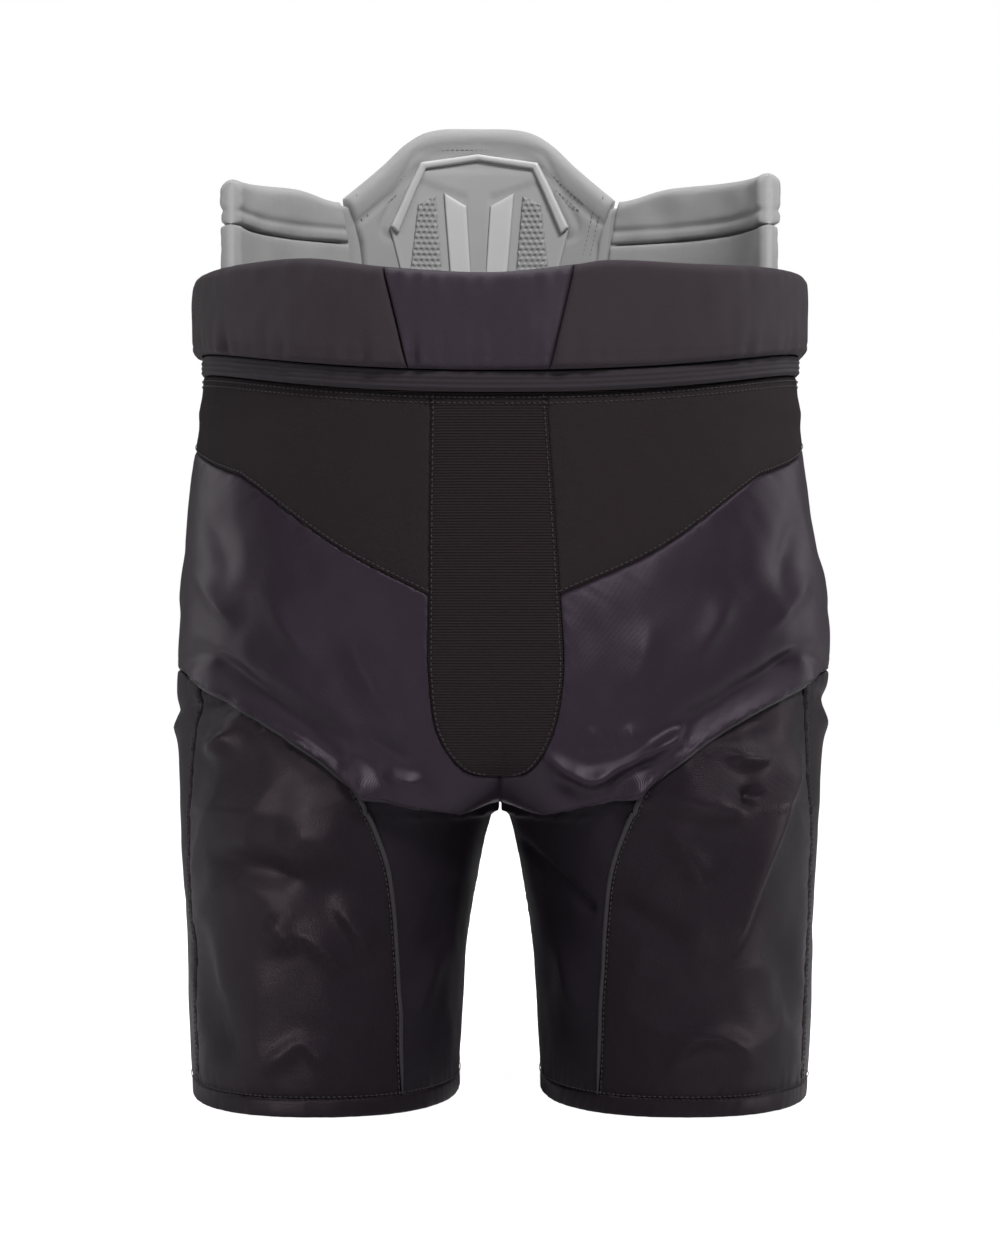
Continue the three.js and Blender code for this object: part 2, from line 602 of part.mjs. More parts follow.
// The wings wrap forward from the notches. Their own angles run from the back seam to the front end.
function kidneyWings() {
  for (const { name, side } of sides) {
    const seamX = (height) => {
      const share = Math.min(Math.max((height - backFoot) / (beltTop + backNotch.rise - backFoot), 0), 1);
      const half = backFootHalfWidth + (backNotch.halfWidth - backFootHalfWidth) * share;
      return half + kidneyGap + side * backCentre;
    };
    const row = (height) => straight(beltBack(seamX(height), height), [-kidneyEndAngle, height], 9);
    const top = beltTop + kidneyRise;
    const groove = top - kidneyRollHeight;
    const look = { inset: backInset, thickness: backPadThickness, side };
    const levels = (high, low, steps) => straight([0, high], [0, low], steps).map(([, height]) => row(height));
    add(`kidney_roll_${name}`, shell(beltSurface, levels(top, groove, 2), look), greyCloth);
    add(`kidney_pad_${name}`, shell(beltSurface, levels(groove, backFoot, 3), look), greyCloth);
  }
}

for (const { name, side } of sides) {
  const lines = sideSeams(name);
  torsoPanels(name, side, lines);
  legPanels(name, side, lines);
  hemBand(name, side);
  legLining(name, side);
  guards(name, side);
}
frontGusset(sideSeams('left'), sideSeams('right'));
tailbone();
waistLining();
belt();
waistRoll();
backPad();
backCap();
kidneyWings();

export default group;
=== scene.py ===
# Ice hockey pants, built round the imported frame. Metres, +Z up, front faces -Y, +X is the wearer's left.
import math

import bpy
import numpy as np
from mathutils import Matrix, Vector


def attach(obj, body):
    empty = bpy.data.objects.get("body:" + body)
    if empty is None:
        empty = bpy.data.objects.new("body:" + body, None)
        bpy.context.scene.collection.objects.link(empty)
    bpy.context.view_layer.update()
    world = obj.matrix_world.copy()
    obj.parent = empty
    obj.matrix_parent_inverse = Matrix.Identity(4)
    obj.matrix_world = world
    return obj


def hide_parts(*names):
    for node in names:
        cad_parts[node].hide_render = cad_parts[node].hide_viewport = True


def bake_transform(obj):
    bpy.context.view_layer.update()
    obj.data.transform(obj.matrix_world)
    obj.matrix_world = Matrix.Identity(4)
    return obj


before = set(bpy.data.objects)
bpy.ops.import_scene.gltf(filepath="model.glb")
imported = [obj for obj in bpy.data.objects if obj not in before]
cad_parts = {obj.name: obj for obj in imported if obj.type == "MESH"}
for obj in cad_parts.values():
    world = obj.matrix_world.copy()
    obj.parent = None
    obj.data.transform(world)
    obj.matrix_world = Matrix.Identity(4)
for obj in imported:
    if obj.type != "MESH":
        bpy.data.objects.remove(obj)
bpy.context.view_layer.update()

MM = 0.001
SIDES = {"left": 1.0, "right": -1.0}

# ------------------------------------------------------------------ sizes, the same as the frame's
INSEAM = 187 * MM
HIP_RISE = 93 * MM
FRONT_RISE = 252 * MM
WAIST = INSEAM + FRONT_RISE
SEAM_GAP = 0.6 * MM
ROLL_BOTTOM = WAIST + SEAM_GAP
ROLL_HEIGHT = 12.5 * MM
BELT_BOTTOM = ROLL_BOTTOM + ROLL_HEIGHT + SEAM_GAP
BELT_HEIGHT = 66 * MM
BELT_TOP = BELT_BOTTOM + BELT_HEIGHT
SIDE_LIFT = 20 * MM
HEM_BAND = 11.5 * MM
LEG_GAP = 53 * MM
BELT_HALF_WIDTH = 200 * MM
BELT_HALF_DEPTH = 146 * MM
BELT_TURN = -13 * MM
BACK_CENTRE = -16 * MM
POWER = 2.3
GUARD_INSET = 6 * MM
GUARD_THICKNESS = 2.5 * MM
FOAM_INSET = 9.5 * MM
FOAM_THICKNESS = 9 * MM
LINING_INSET = 19.5 * MM
BELT_THICKNESS = 13 * MM
BACK_INSET = 16 * MM
BACK_THICKNESS = 15 * MM

WIDTHS = [(0, 198), (187, 206), (280, 211.5), (350, 205), (439, 192)]
DEPTHS = [(0, 113), (187, 131), (280, 143), (439, 134)]
SET_BACK = [(0, 0), (280, 3), (439, 0)]


# ------------------------------------------------------------------ cross-sections
def profile(stations):
    """A smooth curve through (height, value) stations in millimetres, as a function of metres."""
    heights = np.array([s[0] for s in stations], float) * MM
    values = np.array([s[1] for s in stations], float) * MM
    last = len(stations) - 1
    slopes = np.array([(values[min(k + 1, last)] - values[max(k - 1, 0)])
                       / (heights[min(k + 1, last)] - heights[max(k - 1, 0)]) for k in range(last + 1)])

    def curve(z):
        z = np.clip(np.asarray(z, float), heights[0], heights[-1])
        k = np.clip(np.searchsorted(heights, z, side="right") - 1, 0, last - 1)
        span = heights[k + 1] - heights[k]
        t = (z - heights[k]) / span
        rise = 3 * t ** 2 - 2 * t ** 3
        bend = slopes[k] * (t - 2 * t ** 2 + t ** 3) + slopes[k + 1] * (t ** 3 - t ** 2)
        return values[k] * (1 - rise) + values[k + 1] * rise + bend * span
    return curve


outer_width = profile(WIDTHS)
outer_depth = profile(DEPTHS)
set_back = profile(SET_BACK)


def signed_power(value, power):
    return np.sign(value) * np.abs(value) ** power


def unit(vectors, least=1e-9):
    return vectors / np.maximum(np.linalg.norm(vectors, axis=-1, keepdims=True), least)


def hump(distance, width):
    """1 on a line, and falling away on both sides of it."""
    return np.exp(-(distance / width) ** 2)


def fading(distance, reach):
    """1 at an edge, and falling away from it."""
    return np.exp(-distance / reach)


def run_along(line):
    """The length from a line's start to each of its points."""
    return np.concatenate([[0], np.cumsum(np.linalg.norm(np.diff(line, axis=0), axis=1))])


def oval(z):
    """Centre and half-width of one side's section: two leg ovals, which merge into one torso oval."""
    z = np.asarray(z, float)
    width = outer_width(z)
    under = np.clip(z / INSEAM, 0, 1)
    merged = np.clip((z - INSEAM) / HIP_RISE, 0, 1)
    inner = LEG_GAP / 2 * (1 - under ** 1.7) ** 0.65
    centre = np.where(z < INSEAM, (width + inner) / 2, width / 2 * (1 - merged) ** 1.6)
    return centre, width - centre


def body(angle, z):
    """Points of the outside of the +X half: angle 0 is the side, 90 the front, 180 the inside of the leg."""
    angle = np.radians(angle)
    centre, across = oval(z)
    x = centre + across * signed_power(np.cos(angle), 2 / POWER)
    y = set_back(z) - outer_depth(z) * signed_power(np.sin(angle), 2 / POWER)
    return np.stack([x, y, np.broadcast_to(z, x.shape)], -1)


def belt(angle, z):
    angle = np.radians(angle)
    x = BELT_HALF_WIDTH * signed_power(np.cos(angle), 2 / POWER)
    y = -BELT_HALF_DEPTH * signed_power(np.sin(angle), 2 / POWER)
    return np.stack([x, y, np.broadcast_to(z, x.shape)], -1)


def angle_across(distance, centre, across):
    share = np.clip((distance - centre) / across, -1, 1)
    return np.degrees(np.arccos(signed_power(share, POWER / 2)))


def front(distance, z):
    centre, across = oval(z)
    return angle_across(distance, centre, across), z


def back(distance, z):
    angle, z = front(distance, z)
    return -angle, z


def belt_angle(x):
    """The angle of a point on the belt's front, from 0 on the left to 180 on the right."""
    x = np.asarray(x, float)
    angle = angle_across(np.abs(x), 0, BELT_HALF_WIDTH)
    return np.where(x >= 0, angle, 180 - angle)


def centre_surface(face):
    """A surface by distance from the middle and height, on the front or back of the body."""
    def surface(x, z):
        angle, _ = face(np.abs(x), z)
        points = body(angle, z)
        points[..., 0] = x
        return points
    return surface


def back_surface(across, z):
    x = BACK_CENTRE + across
    points = belt(-angle_across(np.abs(x), 0, BELT_HALF_WIDTH), z)
    points[..., 0] = x
    return points


def body_ring(angle, z):
    points = body(90 - np.abs(90 - np.abs(angle)), z)
    points[..., 1] = np.where(angle < 0, 2 * set_back(z) - points[..., 1], points[..., 1])
    points[..., 0] = np.where(np.abs(angle) > 90, -points[..., 0], points[..., 0])
    return points


def lift(angle):
    return SIDE_LIFT * np.cos(np.radians(angle)) ** 2


# ------------------------------------------------------------------ seams
FINE = 6        # points of a seam here for each of the frame's


def spline(points, steps):
    """A centripetal Catmull-Rom curve through the points, at even steps of length."""
    points = np.asarray(points, float)
    padded = np.vstack([2 * points[0] - points[1], points, 2 * points[-1] - points[-2]])
    gaps = np.maximum(np.linalg.norm(np.diff(padded, axis=0), axis=1) ** 0.5, 1e-9)
    out = []
    for k in range(len(points) - 1):
        p0, p1, p2, p3 = padded[k:k + 4]
        d0, d1, d2 = gaps[k:k + 3]
        t1 = ((p1 - p0) / d0 - (p2 - p0) / (d0 + d1) + (p2 - p1) / d1) * d1
        t2 = ((p2 - p1) / d1 - (p3 - p1) / (d1 + d2) + (p3 - p2) / d2) * d1
        t = np.linspace(0, 1, 60)[:, None]
        out.append(p1 + t1 * t + (-3 * p1 + 3 * p2 - 2 * t1 - t2) * t ** 2
                   + (2 * p1 - 2 * p2 + t1 + t2) * t ** 3)
    return resample(np.vstack(out), steps)


def resample(points, steps):
    points = np.asarray(points, float)
    length = run_along(points)
    even = np.linspace(0, length[-1], steps + 1)
    return np.stack([np.interp(even, length, points[:, k]) for k in range(points.shape[1])], -1)


def seam(points, steps):
    """Points are (degrees, metres); lengths are measured as on the frame, one degree to a millimetre."""
    points = np.asarray(points, float) * [1, 1000]
    return spline(points, steps * FINE) * [1, MM]


def seam_on(face, points, steps):
    """Points are (distance from the middle, height) in metres."""
    points = spline(np.asarray(points, float), steps * FINE)
    return np.stack(face(points[:, 0], points[:, 1]), -1)


def straight(start, end, steps):
    return np.linspace(np.asarray(start, float), np.asarray(end, float), steps * FINE + 1)


def join(*pieces):
    return np.vstack([pieces[0]] + [piece[1:] for piece in pieces[1:]])


def middle_line(face, high, low, steps):
    z = np.linspace(high, low, steps * FINE + 1)
    return np.stack(face(np.zeros_like(z), z), -1)


GUSSET_EDGES = {"left": (28, 36, 38, 31), "right": (42, 43, 43, 37)}
STRIP_ANGLE = 28
STRIP_DROP = 9 * MM
HEM_LINE = HEM_BAND + SEAM_GAP


def side_seams(name):
    """Every seam of one side, as on the frame."""
    edges = [edge * MM for edge in GUSSET_EDGES[name]]
    up = lambda rise: INSEAM + rise * MM
    gusset_top = (front(edges[0], WAIST)[0], WAIST)
    yoke_low = (edges[1], up(131))
    waist_side = (0, WAIST + SIDE_LIFT)
    yoke_side = (0, WAIST - 22 * MM)
    leg_side = (0, up(85))
    strip_end = up(85) - STRIP_DROP
    strip_front = (STRIP_ANGLE, strip_end)
    strip_back = (-STRIP_ANGLE, strip_end)
    corner = (88 * MM, up(15))
    fold = (-120, up(-8))
    seat_top = up(143)
    strip_mid = strip_end + STRIP_DROP * 0.7

    def waist_line(start, steps):
        line = straight(start, waist_side, steps)
        line[:, 1] = WAIST + lift(line[:, 0])
        return line

    return {
        "front_waist": waist_line(gusset_top, 12),
        "back_waist": waist_line(back(0.0, WAIST), 12),
        "gusset_side": straight(gusset_top, front(*yoke_low), 4),
        "gusset_edge": seam_on(front, [yoke_low, (edges[2], up(83)), (edges[3], up(45)),
                                       (edges[3] * 0.55, up(24)), (0, up(20))], 6),
        "centre_front": middle_line(front, up(20), INSEAM, 7),
        "yoke_border": join(seam_on(front, [yoke_low, (97 * MM, up(159)), (160 * MM, up(205))], 8),
                            straight(front(160 * MM, up(205)), yoke_side, 4)),
        "waist_end": straight(waist_side, yoke_side, 4),
        "side_seam": straight(yoke_side, leg_side, 7),
        "strip_top_front": seam([leg_side, (STRIP_ANGLE / 2, strip_mid), strip_front], 4),
        "leg_seam": seam_on(front, [(float(body(STRIP_ANGLE, strip_end)[0]), strip_end), (146 * MM, up(54)),
                                    (109 * MM, up(31)), corner], 8),
        "crease": seam_on(front, [corner, (60 * MM, up(11)), (30 * MM, up(8)), (10 * MM, up(4)),
                                  (0, INSEAM)], 6),
        "leg_seam_down": seam_on(front, [corner, (75 * MM, up(-12)), (67 * MM, up(-40)),
                                         (62 * MM, up(-110)), (60 * MM, HEM_LINE)], 7),
        "strip_top_back": seam([leg_side, (-STRIP_ANGLE / 2, strip_mid), strip_back], 4),
        "back_fold": seam([strip_back, (-55, up(44)), (-85, up(8)), fold], 8),
        "inner_fold": seam([fold, (-150, up(-3.5)), (-180, INSEAM)], 6),
        "seat_seam": middle_line(back, seat_top, up(22), 6),
        "centre_back": middle_line(back, up(22), INSEAM, 7),
        "seat_border": join(seam_on(back, [(0, seat_top), (70 * MM, seat_top + 4 * MM),
                                           (150 * MM, up(190))], 8),
                            straight(back(150 * MM, up(190)), yoke_side, 4)),
        "seat_yoke_middle": middle_line(back, WAIST, seat_top, 4),
        "strip_front_down": straight(strip_front, (STRIP_ANGLE, HEM_LINE), 7),
        "strip_back_down": straight(strip_back, (-STRIP_ANGLE, HEM_LINE), 7),
        "inner_back_down": straight(fold, (-120, HEM_LINE), 7),
        "inseam_front_down": straight((180, INSEAM), (180, HEM_LINE), 7),
        "inseam_back_down": straight((-180, INSEAM), (-180, HEM_LINE), 7),
    }


SEAMS = {name: side_seams(name) for name in SIDES}


def seam_in_front(key):
    """A seam of each side as seen from the front, by distance from the middle and height."""
    return {name: np.stack([body(*SEAMS[name][key].T)[:, 0] * side, SEAMS[name][key][:, 1]], -1)
            for name, side in SIDES.items()}


# ------------------------------------------------------------------ grids
def at(points, share):
    """Points of a line at shares of its count."""
    place = np.asarray(share) * (len(points) - 1)
    return np.stack([np.interp(place, np.arange(len(points)), points[:, k]) for k in (0, 1)], -1)


def coons(top, bottom, start, end, rows, columns):
    """A patch between four lines of points, whose ends meet."""
    t, s = rows[:, None, None], columns[None, :, None]
    return ((1 - t) * top[None] + t * bottom[None] + (1 - s) * start[:, None] + s * end[:, None]
            - (1 - t) * ((1 - s) * top[0] + s * top[-1]) - t * ((1 - s) * bottom[0] + s * bottom[-1]))


def fill(top, bottom, start, end, rows, columns):
    """A patch between four seams, at the given shares down and along."""
    return coons(at(top, columns), at(bottom, columns), at(start, rows), at(end, rows),
                 np.asarray(rows), np.asarray(columns))


def fill_torso(face, top, bottom, start, end, rows, columns):
    """The same, level by level across the body, so that no point passes the middle."""
    def across(points):
        x = body(points[:, 0], points[:, 1])[:, 0]
        return np.stack([x / outer_width(points[:, 1]), points[:, 1]], -1)
    grid = fill(across(top), across(bottom), across(start), across(end), rows, columns)
    return np.stack(face(grid[..., 0] * outer_width(grid[..., 1]), grid[..., 1]), -1)


def normals_of(surface, grid):
    """Normals from small steps round the surface, in degrees or metres as it is measured, and up it."""
    step_up = 0.2 * MM
    step = 0.2 if surface in (body, belt, body_ring) else step_up
    a, z = grid[..., 0], grid[..., 1]
    around = surface(a + step, z) - surface(a - step, z)
    up = surface(a, z + step_up) - surface(a, z - step_up)
    return unit(np.cross(up, around), 1e-12)


# ------------------------------------------------------------------ the shape of worn cloth
def smooth(low, high, value):
    t = np.clip((value - low) / (high - low), 0, 1)
    return t * t * (3 - 2 * t)


def near_line(places, line):
    """How far each place is from a line, on which side of it, and at what share of its length."""
    best = np.full(places.shape[:-1], 1e9)
    side = np.zeros_like(best)
    share = np.zeros_like(best)
    lengths = np.linalg.norm(np.diff(line, axis=0), axis=1)
    before = np.concatenate([[0], np.cumsum(lengths)])
    for k, length in enumerate(lengths):
        step = line[k + 1] - line[k]
        offset = places - line[k]
        t = np.clip((offset @ step) / length ** 2, 0, 1)
        distance = np.linalg.norm(offset - t[..., None] * step, axis=-1)
        closer = distance < best
        best = np.where(closer, distance, best)
        turn = np.sign(step[0] * offset[..., 1] - step[1] * offset[..., 0])
        side = np.where(closer, turn, side)
        share = np.where(closer, (before[k] + t * length) / before[-1], share)
    return best, side, share


# Folds on the front, as (points across and up, height, width on the left of the line, width on its right,
# how sharply it fades at its two ends), in millimetres. A negative height is a valley.
FOLDS = {
    "right": [
        ([(-181, 283), (-158, 262), (-132, 243), (-110, 226), (-92, 212)], -4.6, 6, 9, 0.16),
        ([(-134, 236), (-112, 224), (-95, 212)], 2.6, 3.5, 4.5, 0.3),
        ([(-203, 250), (-182, 250), (-160, 255)], -3.0, 4, 5, 0.3),
        ([(-183, 216), (-172, 228), (-160, 239)], 2.6, 6, 8, 0.4),
        ([(-141, 127), (-132, 114), (-122, 101)], 1.9, 7, 6, 0.4),
        ([(-124, 121), (-108, 106), (-91, 88)], 1.8, 8, 6, 0.4),
        ([(-102, 141), (-90, 120), (-75, 97)], 2.0, 9, 6, 0.4),
        ([(-138, 176), (-109, 172), (-84, 168)], 2.6, 17, 19, 0.4),
        ([(-182, 160), (-139, 151), (-112, 147)], -2.6, 8, 8, 0.35),
        ([(-148, 26), (-134, 38), (-120, 47), (-108, 38), (-97, 26)], 1.4, 5, 7, 0.3),
        ([(-190, 124), (-183, 84), (-165, 26)], -2.4, 7, 10, 0.3),
        ([(-36, 112), (-46, 80), (-58, 46)], 1.8, 9, 7, 0.4),
        ([(-26, 150), (-33, 120), (-41, 92)], -1.8, 7, 7, 0.4),
        ([(-196, 336), (-181, 318), (-160, 296)], 1.8, 9, 6, 0.4),
        ([(-188, 372), (-176, 352), (-166, 322)], -1.5, 8, 7, 0.4),
        ([(-150, 330), (-128, 296), (-104, 268)], 1.4, 12, 9, 0.45),
        ([(-96, 300), (-76, 262), (-62, 236)], 1.3, 10, 9, 0.45),
        ([(-88, 240), (-70, 226), (-52, 219)], -1.6, 5, 6, 0.4),
        ([(-76, 214), (-60, 209), (-42, 208)], 1.8, 4, 4, 0.4),
    ],
    "left": [
        ([(188, 286), (168, 269), (147, 256), (124, 241), (106, 228)], -3.6, 9, 5, 0.18),
        ([(21, 228), (34, 217), (55, 208), (78, 217), (101, 229), (125, 243)], 2.6, 5, 3.5, 0.22),
        ([(30, 211), (55, 201), (80, 209), (101, 221)], -2.6, 5, 5, 0.25),
        ([(42, 238), (48, 230), (52, 222)], -0.6, 2.4, 2.4, 0.35),
        ([(52, 240), (58, 230), (61, 220)], 0.6, 2.6, 2.6, 0.35),
        ([(64, 240), (68, 231), (71, 223)], -0.6, 2.6, 2.6, 0.35),
        ([(76, 241), (79, 234), (84, 227)], 0.5, 2.8, 2.8, 0.35),
        ([(5, 172), (22, 157), (41, 141), (60, 124)], -1.7, 2.2, 3.0, 0.12),
        ([(127, 229), (146, 233), (175, 248)], -2.4, 5, 5, 0.35),
        ([(133, 221), (150, 219), (168, 217)], 2.3, 6, 6, 0.4),
        ([(141, 196), (150, 196), (160, 199)], -1.9, 5, 5, 0.45),
        ([(188, 230), (171, 188), (154, 145), (137, 93)], 3.8, 5, 15, 0.2),
        ([(92, 204), (118, 192), (152, 190)], 2.4, 20, 10, 0.35),
        ([(94, 188), (112, 164), (128, 139)], 1.6, 11, 8, 0.4),
        ([(65, 137), (92, 118), (118, 99)], -2.0, 8, 8, 0.4),
        ([(101, 26), (117, 49), (142, 46), (157, 26)], 1.4, 6, 6, 0.3),
        ([(170, 120), (176, 84), (184, 44)], -2.0, 8, 9, 0.4),
        ([(34, 116), (42, 84), (50, 46)], 1.6, 8, 8, 0.4),
        ([(196, 336), (180, 316), (158, 290)], 1.9, 6, 9, 0.4),
        ([(190, 372), (178, 346), (170, 316)], -1.6, 7, 8, 0.4),
        ([(150, 330), (126, 292), (108, 268)], 1.5, 9, 12, 0.45),
        ([(92, 306), (84, 276), (72, 252)], 1.2, 9, 9, 0.45),
    ],
}


# The same on the back, across and up as seen from the front, for the left half; the right half mirrors them
# with other heights.
BACK_FOLDS = [
    ([(8, 212), (40, 196), (78, 192), (112, 203)], -3.4, 6, 7, 0.2),
    ([(14, 200), (50, 183), (92, 181)], 2.6, 6, 6, 0.3),
    ([(6, 236), (34, 226), (70, 228), (104, 244)], -2.0, 6, 8, 0.35),
    ([(10, 262), (44, 250), (84, 258)], 1.6, 9, 9, 0.4),
    ([(178, 300), (150, 276), (118, 262), (90, 258)], 2.0, 10, 7, 0.35),
    ([(186, 262), (160, 246), (132, 222)], -2.2, 7, 9, 0.35),
    ([(60, 176), (74, 140), (82, 92), (80, 44)], 2.4, 9, 7, 0.3),
    ([(118, 186), (128, 150), (124, 104), (132, 50)], -2.4, 8, 10, 0.3),
    ([(150, 170), (158, 128), (170, 84), (166, 40)], 2.2, 11, 8, 0.35),
    ([(92, 96), (108, 74), (126, 66)], -1.6, 6, 7, 0.4),
    ([(96, 24), (112, 46), (136, 40), (150, 24)], 1.5, 6, 6, 0.3),
    ([(40, 356), (66, 330), (96, 322)], 1.3, 10, 10, 0.4),
    ([(170, 372), (150, 344), (140, 312)], -1.6, 8, 8, 0.4),
]
# The same at the side, as (points to the back and up).
SIDE_FOLDS = [
    ([(-70, 262), (-34, 250), (6, 254), (44, 268)], -2.6, 6, 7, 0.3),
    ([(-60, 246), (-20, 234), (26, 240)], 2.2, 6, 7, 0.35),
    ([(-40, 350), (-10, 322), (28, 310)], 1.6, 9, 8, 0.4),
    ([(48, 388), (30, 356), (22, 322)], -1.8, 8, 8, 0.4),
    ([(-34, 214), (-18, 168), (-30, 120), (-22, 60)], -1.8, 9, 9, 0.35),
    ([(30, 206), (40, 150), (30, 96)], 2.0, 9, 8, 0.35),
    ([(-12, 102), (8, 70), (34, 60)], -1.5, 7, 7, 0.4),
]


def fold_line(points, height, left, right, fade):
    return spline(points * MM, 20), height * MM, left * MM, right * MM, fade


def mirrored(folds, seed):
    """Both sides' versions of shared folds, a little different in place and height."""
    made = {name: [] for name in SIDES}
    chance = np.random.default_rng(seed)
    for lines in made.values():
        for line, height, *widths in folds:
            points = np.array(line, float) + chance.normal(size=(len(line), 2)) * 4
            lines.append(fold_line(points, height * (0.75 + 0.5 * chance.random()), *widths))
    return made


FOLD_LINES = {name: [fold_line(np.array(line, float), *rest) for line, *rest in folds]
              for name, folds in FOLDS.items()}
BACK_LINES = mirrored(BACK_FOLDS, 3)
SIDE_LINES = mirrored(SIDE_FOLDS, 4)


def folded(flat, lines):
    """The height that a set of folds gives at places on their plane."""
    height = np.zeros(flat.shape[:-1])
    for line, rise, wide_left, wide_right, fade in lines:
        distance, turn, share = near_line(flat, line)
        width = np.where(turn > 0, wide_left, wide_right)
        ends = smooth(0, fade, share) * smooth(0, fade, 1 - share)
        height += rise * np.exp(-(distance / width) ** 1.6) * ends
    return height


def waves(places, seed, count, shortest, longest, stretch=(1, 1, 1)):
    """Soft uneven waves: plane waves of random direction and length, of about unit height together."""
    chance = np.random.default_rng(seed)
    total = np.zeros(places.shape[:-1])
    for _ in range(count):
        direction = chance.normal(size=3) * stretch
        direction /= np.linalg.norm(direction)
        length = shortest * (longest / shortest) ** chance.random()
        phase = chance.random() * 2 * math.pi
        total += np.sin(places @ direction * (2 * math.pi / length) + phase) * (length / longest) ** 0.5
    return total / math.sqrt(count / 2)


CREASE = seam_in_front("crease")
S_SEAM = seam_in_front("leg_seam")
FRONT_GAIN = 2.7                # how much higher the folds stand than they are listed
SIDE_GAIN = 1.25                # the same at the back and the sides
SINKS = 5 * MM                  # the most that a fold sinks, with the guards 6 mm under the cloth
CREASED_FROM, CREASED_TO = 235 * MM, 262 * MM           # the leg's small creases end between these heights
HIP_LEVEL, HIP_SPREAD = 300 * MM, 48 * MM               # the hips, where the pants lean to one side
HIP_LEAN = {"left": 2.4 * MM, "right": -4.4 * MM}
WEDGE_TOP, WEDGE_DEEP, WEDGE_HALF = 182 * MM, 118 * MM, 26 * MM     # the gap between the legs


def crotch(low, across, level):
    """How far the inside of a leg stands off, so that the gap between the legs closes upwards."""
    inner = smooth(0.25, 0.95, across / level) * smooth(INSEAM + 12 * MM, INSEAM + 2 * MM, low)
    gap = WEDGE_HALF * np.clip((WEDGE_TOP - low) / WEDGE_DEEP, 0, 1) ** 0.48 + 0.1 * MM
    wall = body(np.full_like(low, 180.0), low)[..., 0]
    return inner * np.clip(wall - gap, 0, None) / np.maximum(across, 0.6)


def worn(places, normals, side, part):
    """How far the cloth stands off its smooth shape, along its normal, and how far its edge drops."""
    name = "left" if side > 0 else "right"
    faces_front = smooth(0.05, 0.55, -normals[..., 1])
    faces_back = smooth(0.05, 0.6, normals[..., 1])
    faces_side = smooth(0.45, 0.85, normals[..., 0] * side)
    flat = places[..., [0, 2]]
    low, high = places[..., 2], WAIST - places[..., 2]

    height = FRONT_GAIN * folded(flat, FOLD_LINES[name]) * faces_front
    creased = 0.5 - np.abs(waves(places, 77, 9, 50 * MM, 130 * MM, (1, 0.4, 0.8)))
    on_leg = smooth(CREASED_TO, CREASED_FROM, low) * smooth(0, 50 * MM, low)
    height += 1.5 * MM * creased * faces_front * on_leg * smooth(55 * MM, 80 * MM, np.abs(places[..., 0]))
    height += SIDE_GAIN * folded(flat * [side, 1], BACK_LINES[name]) * faces_back
    height += SIDE_GAIN * folded(places[..., 1:], SIDE_LINES[name]) * faces_side
    calm = smooth(0, 40 * MM, high) * (0.55 + 0.45 * smooth(0, 60 * MM, low))
    soft = 0.8 * MM * waves(places, 11, 14, 60 * MM, 170 * MM, (1, 1, 0.6))
    height += calm * (soft * (1 - 0.8 * faces_front) + 0.2 * MM * waves(places, 31, 16, 16 * MM, 44 * MM))
    height += faces_side * HIP_LEAN[name] * hump(low - HIP_LEVEL, HIP_SPREAD)
    height += 2.0 * MM * faces_side * hump(high + SIDE_LIFT - 22 * MM, 8 * MM)
    height = np.where(height < 0, -SINKS * np.tanh(-height / SINKS), height)

    # the thigh panel stands over the leg's edge at the curved seam
    above, _, _ = near_line(flat, S_SEAM[name])
    if part == "thigh":
        height += (3.0 * MM * hump(above, 7 * MM) - 3.4 * MM * hump(above - 19 * MM, 6.5 * MM)) * faces_front
    if part == "leg":
        height -= 2.0 * MM * fading(above, 9 * MM) * faces_front

    across = -normals[..., 0] * side
    level = np.maximum(np.hypot(normals[..., 0], normals[..., 1]), 1e-6)
    height += crotch(low, across, level)

    # and hangs over the inner panel at the crease
    distance, _, share = near_line(flat, CREASE[name])
    inward = faces_front * smooth(0, 0.12, share + 0.05)
    drop = np.zeros_like(height)
    if part == "thigh":
        height += 6.5 * MM * hump(distance, 10 * MM) * inward
        drop = 6.0 * MM * fading(distance, 7 * MM) * inward
    if part == "inner":
        turned = smooth(0.15, 0.6, across / level)
        height -= 8.0 * MM * fading(distance, 15 * MM) * inward * (1 - turned)
        drop = -5.0 * MM * fading(distance, 4 * MM) * inward
    return height, drop


# ------------------------------------------------------------------ meshes
def make_object(name, points, faces, uv=None, attributes=None, materials=()):
    mesh = bpy.data.meshes.new(name)
    mesh.from_pydata([tuple(p) for p in points], [], [tuple(int(i) for i in f) for f in faces])
    mesh.polygons.foreach_set("use_smooth", np.ones(len(mesh.polygons), bool))
    if uv is not None:
        layer = mesh.uv_layers.new(name="weave")
        layer.data.foreach_set("uv", np.asarray(uv, np.float32).ravel())
    for key, values in (attributes or {}).items():
        attribute = mesh.attributes.new(key, "FLOAT", "POINT")
        attribute.data.foreach_set("value", np.asarray(values, np.float32))
    for material in materials:
        mesh.materials.append(material)
    mesh.update()
    made = bpy.data.objects.new(name, mesh)
    bpy.context.scene.collection.objects.link(made)
    return made


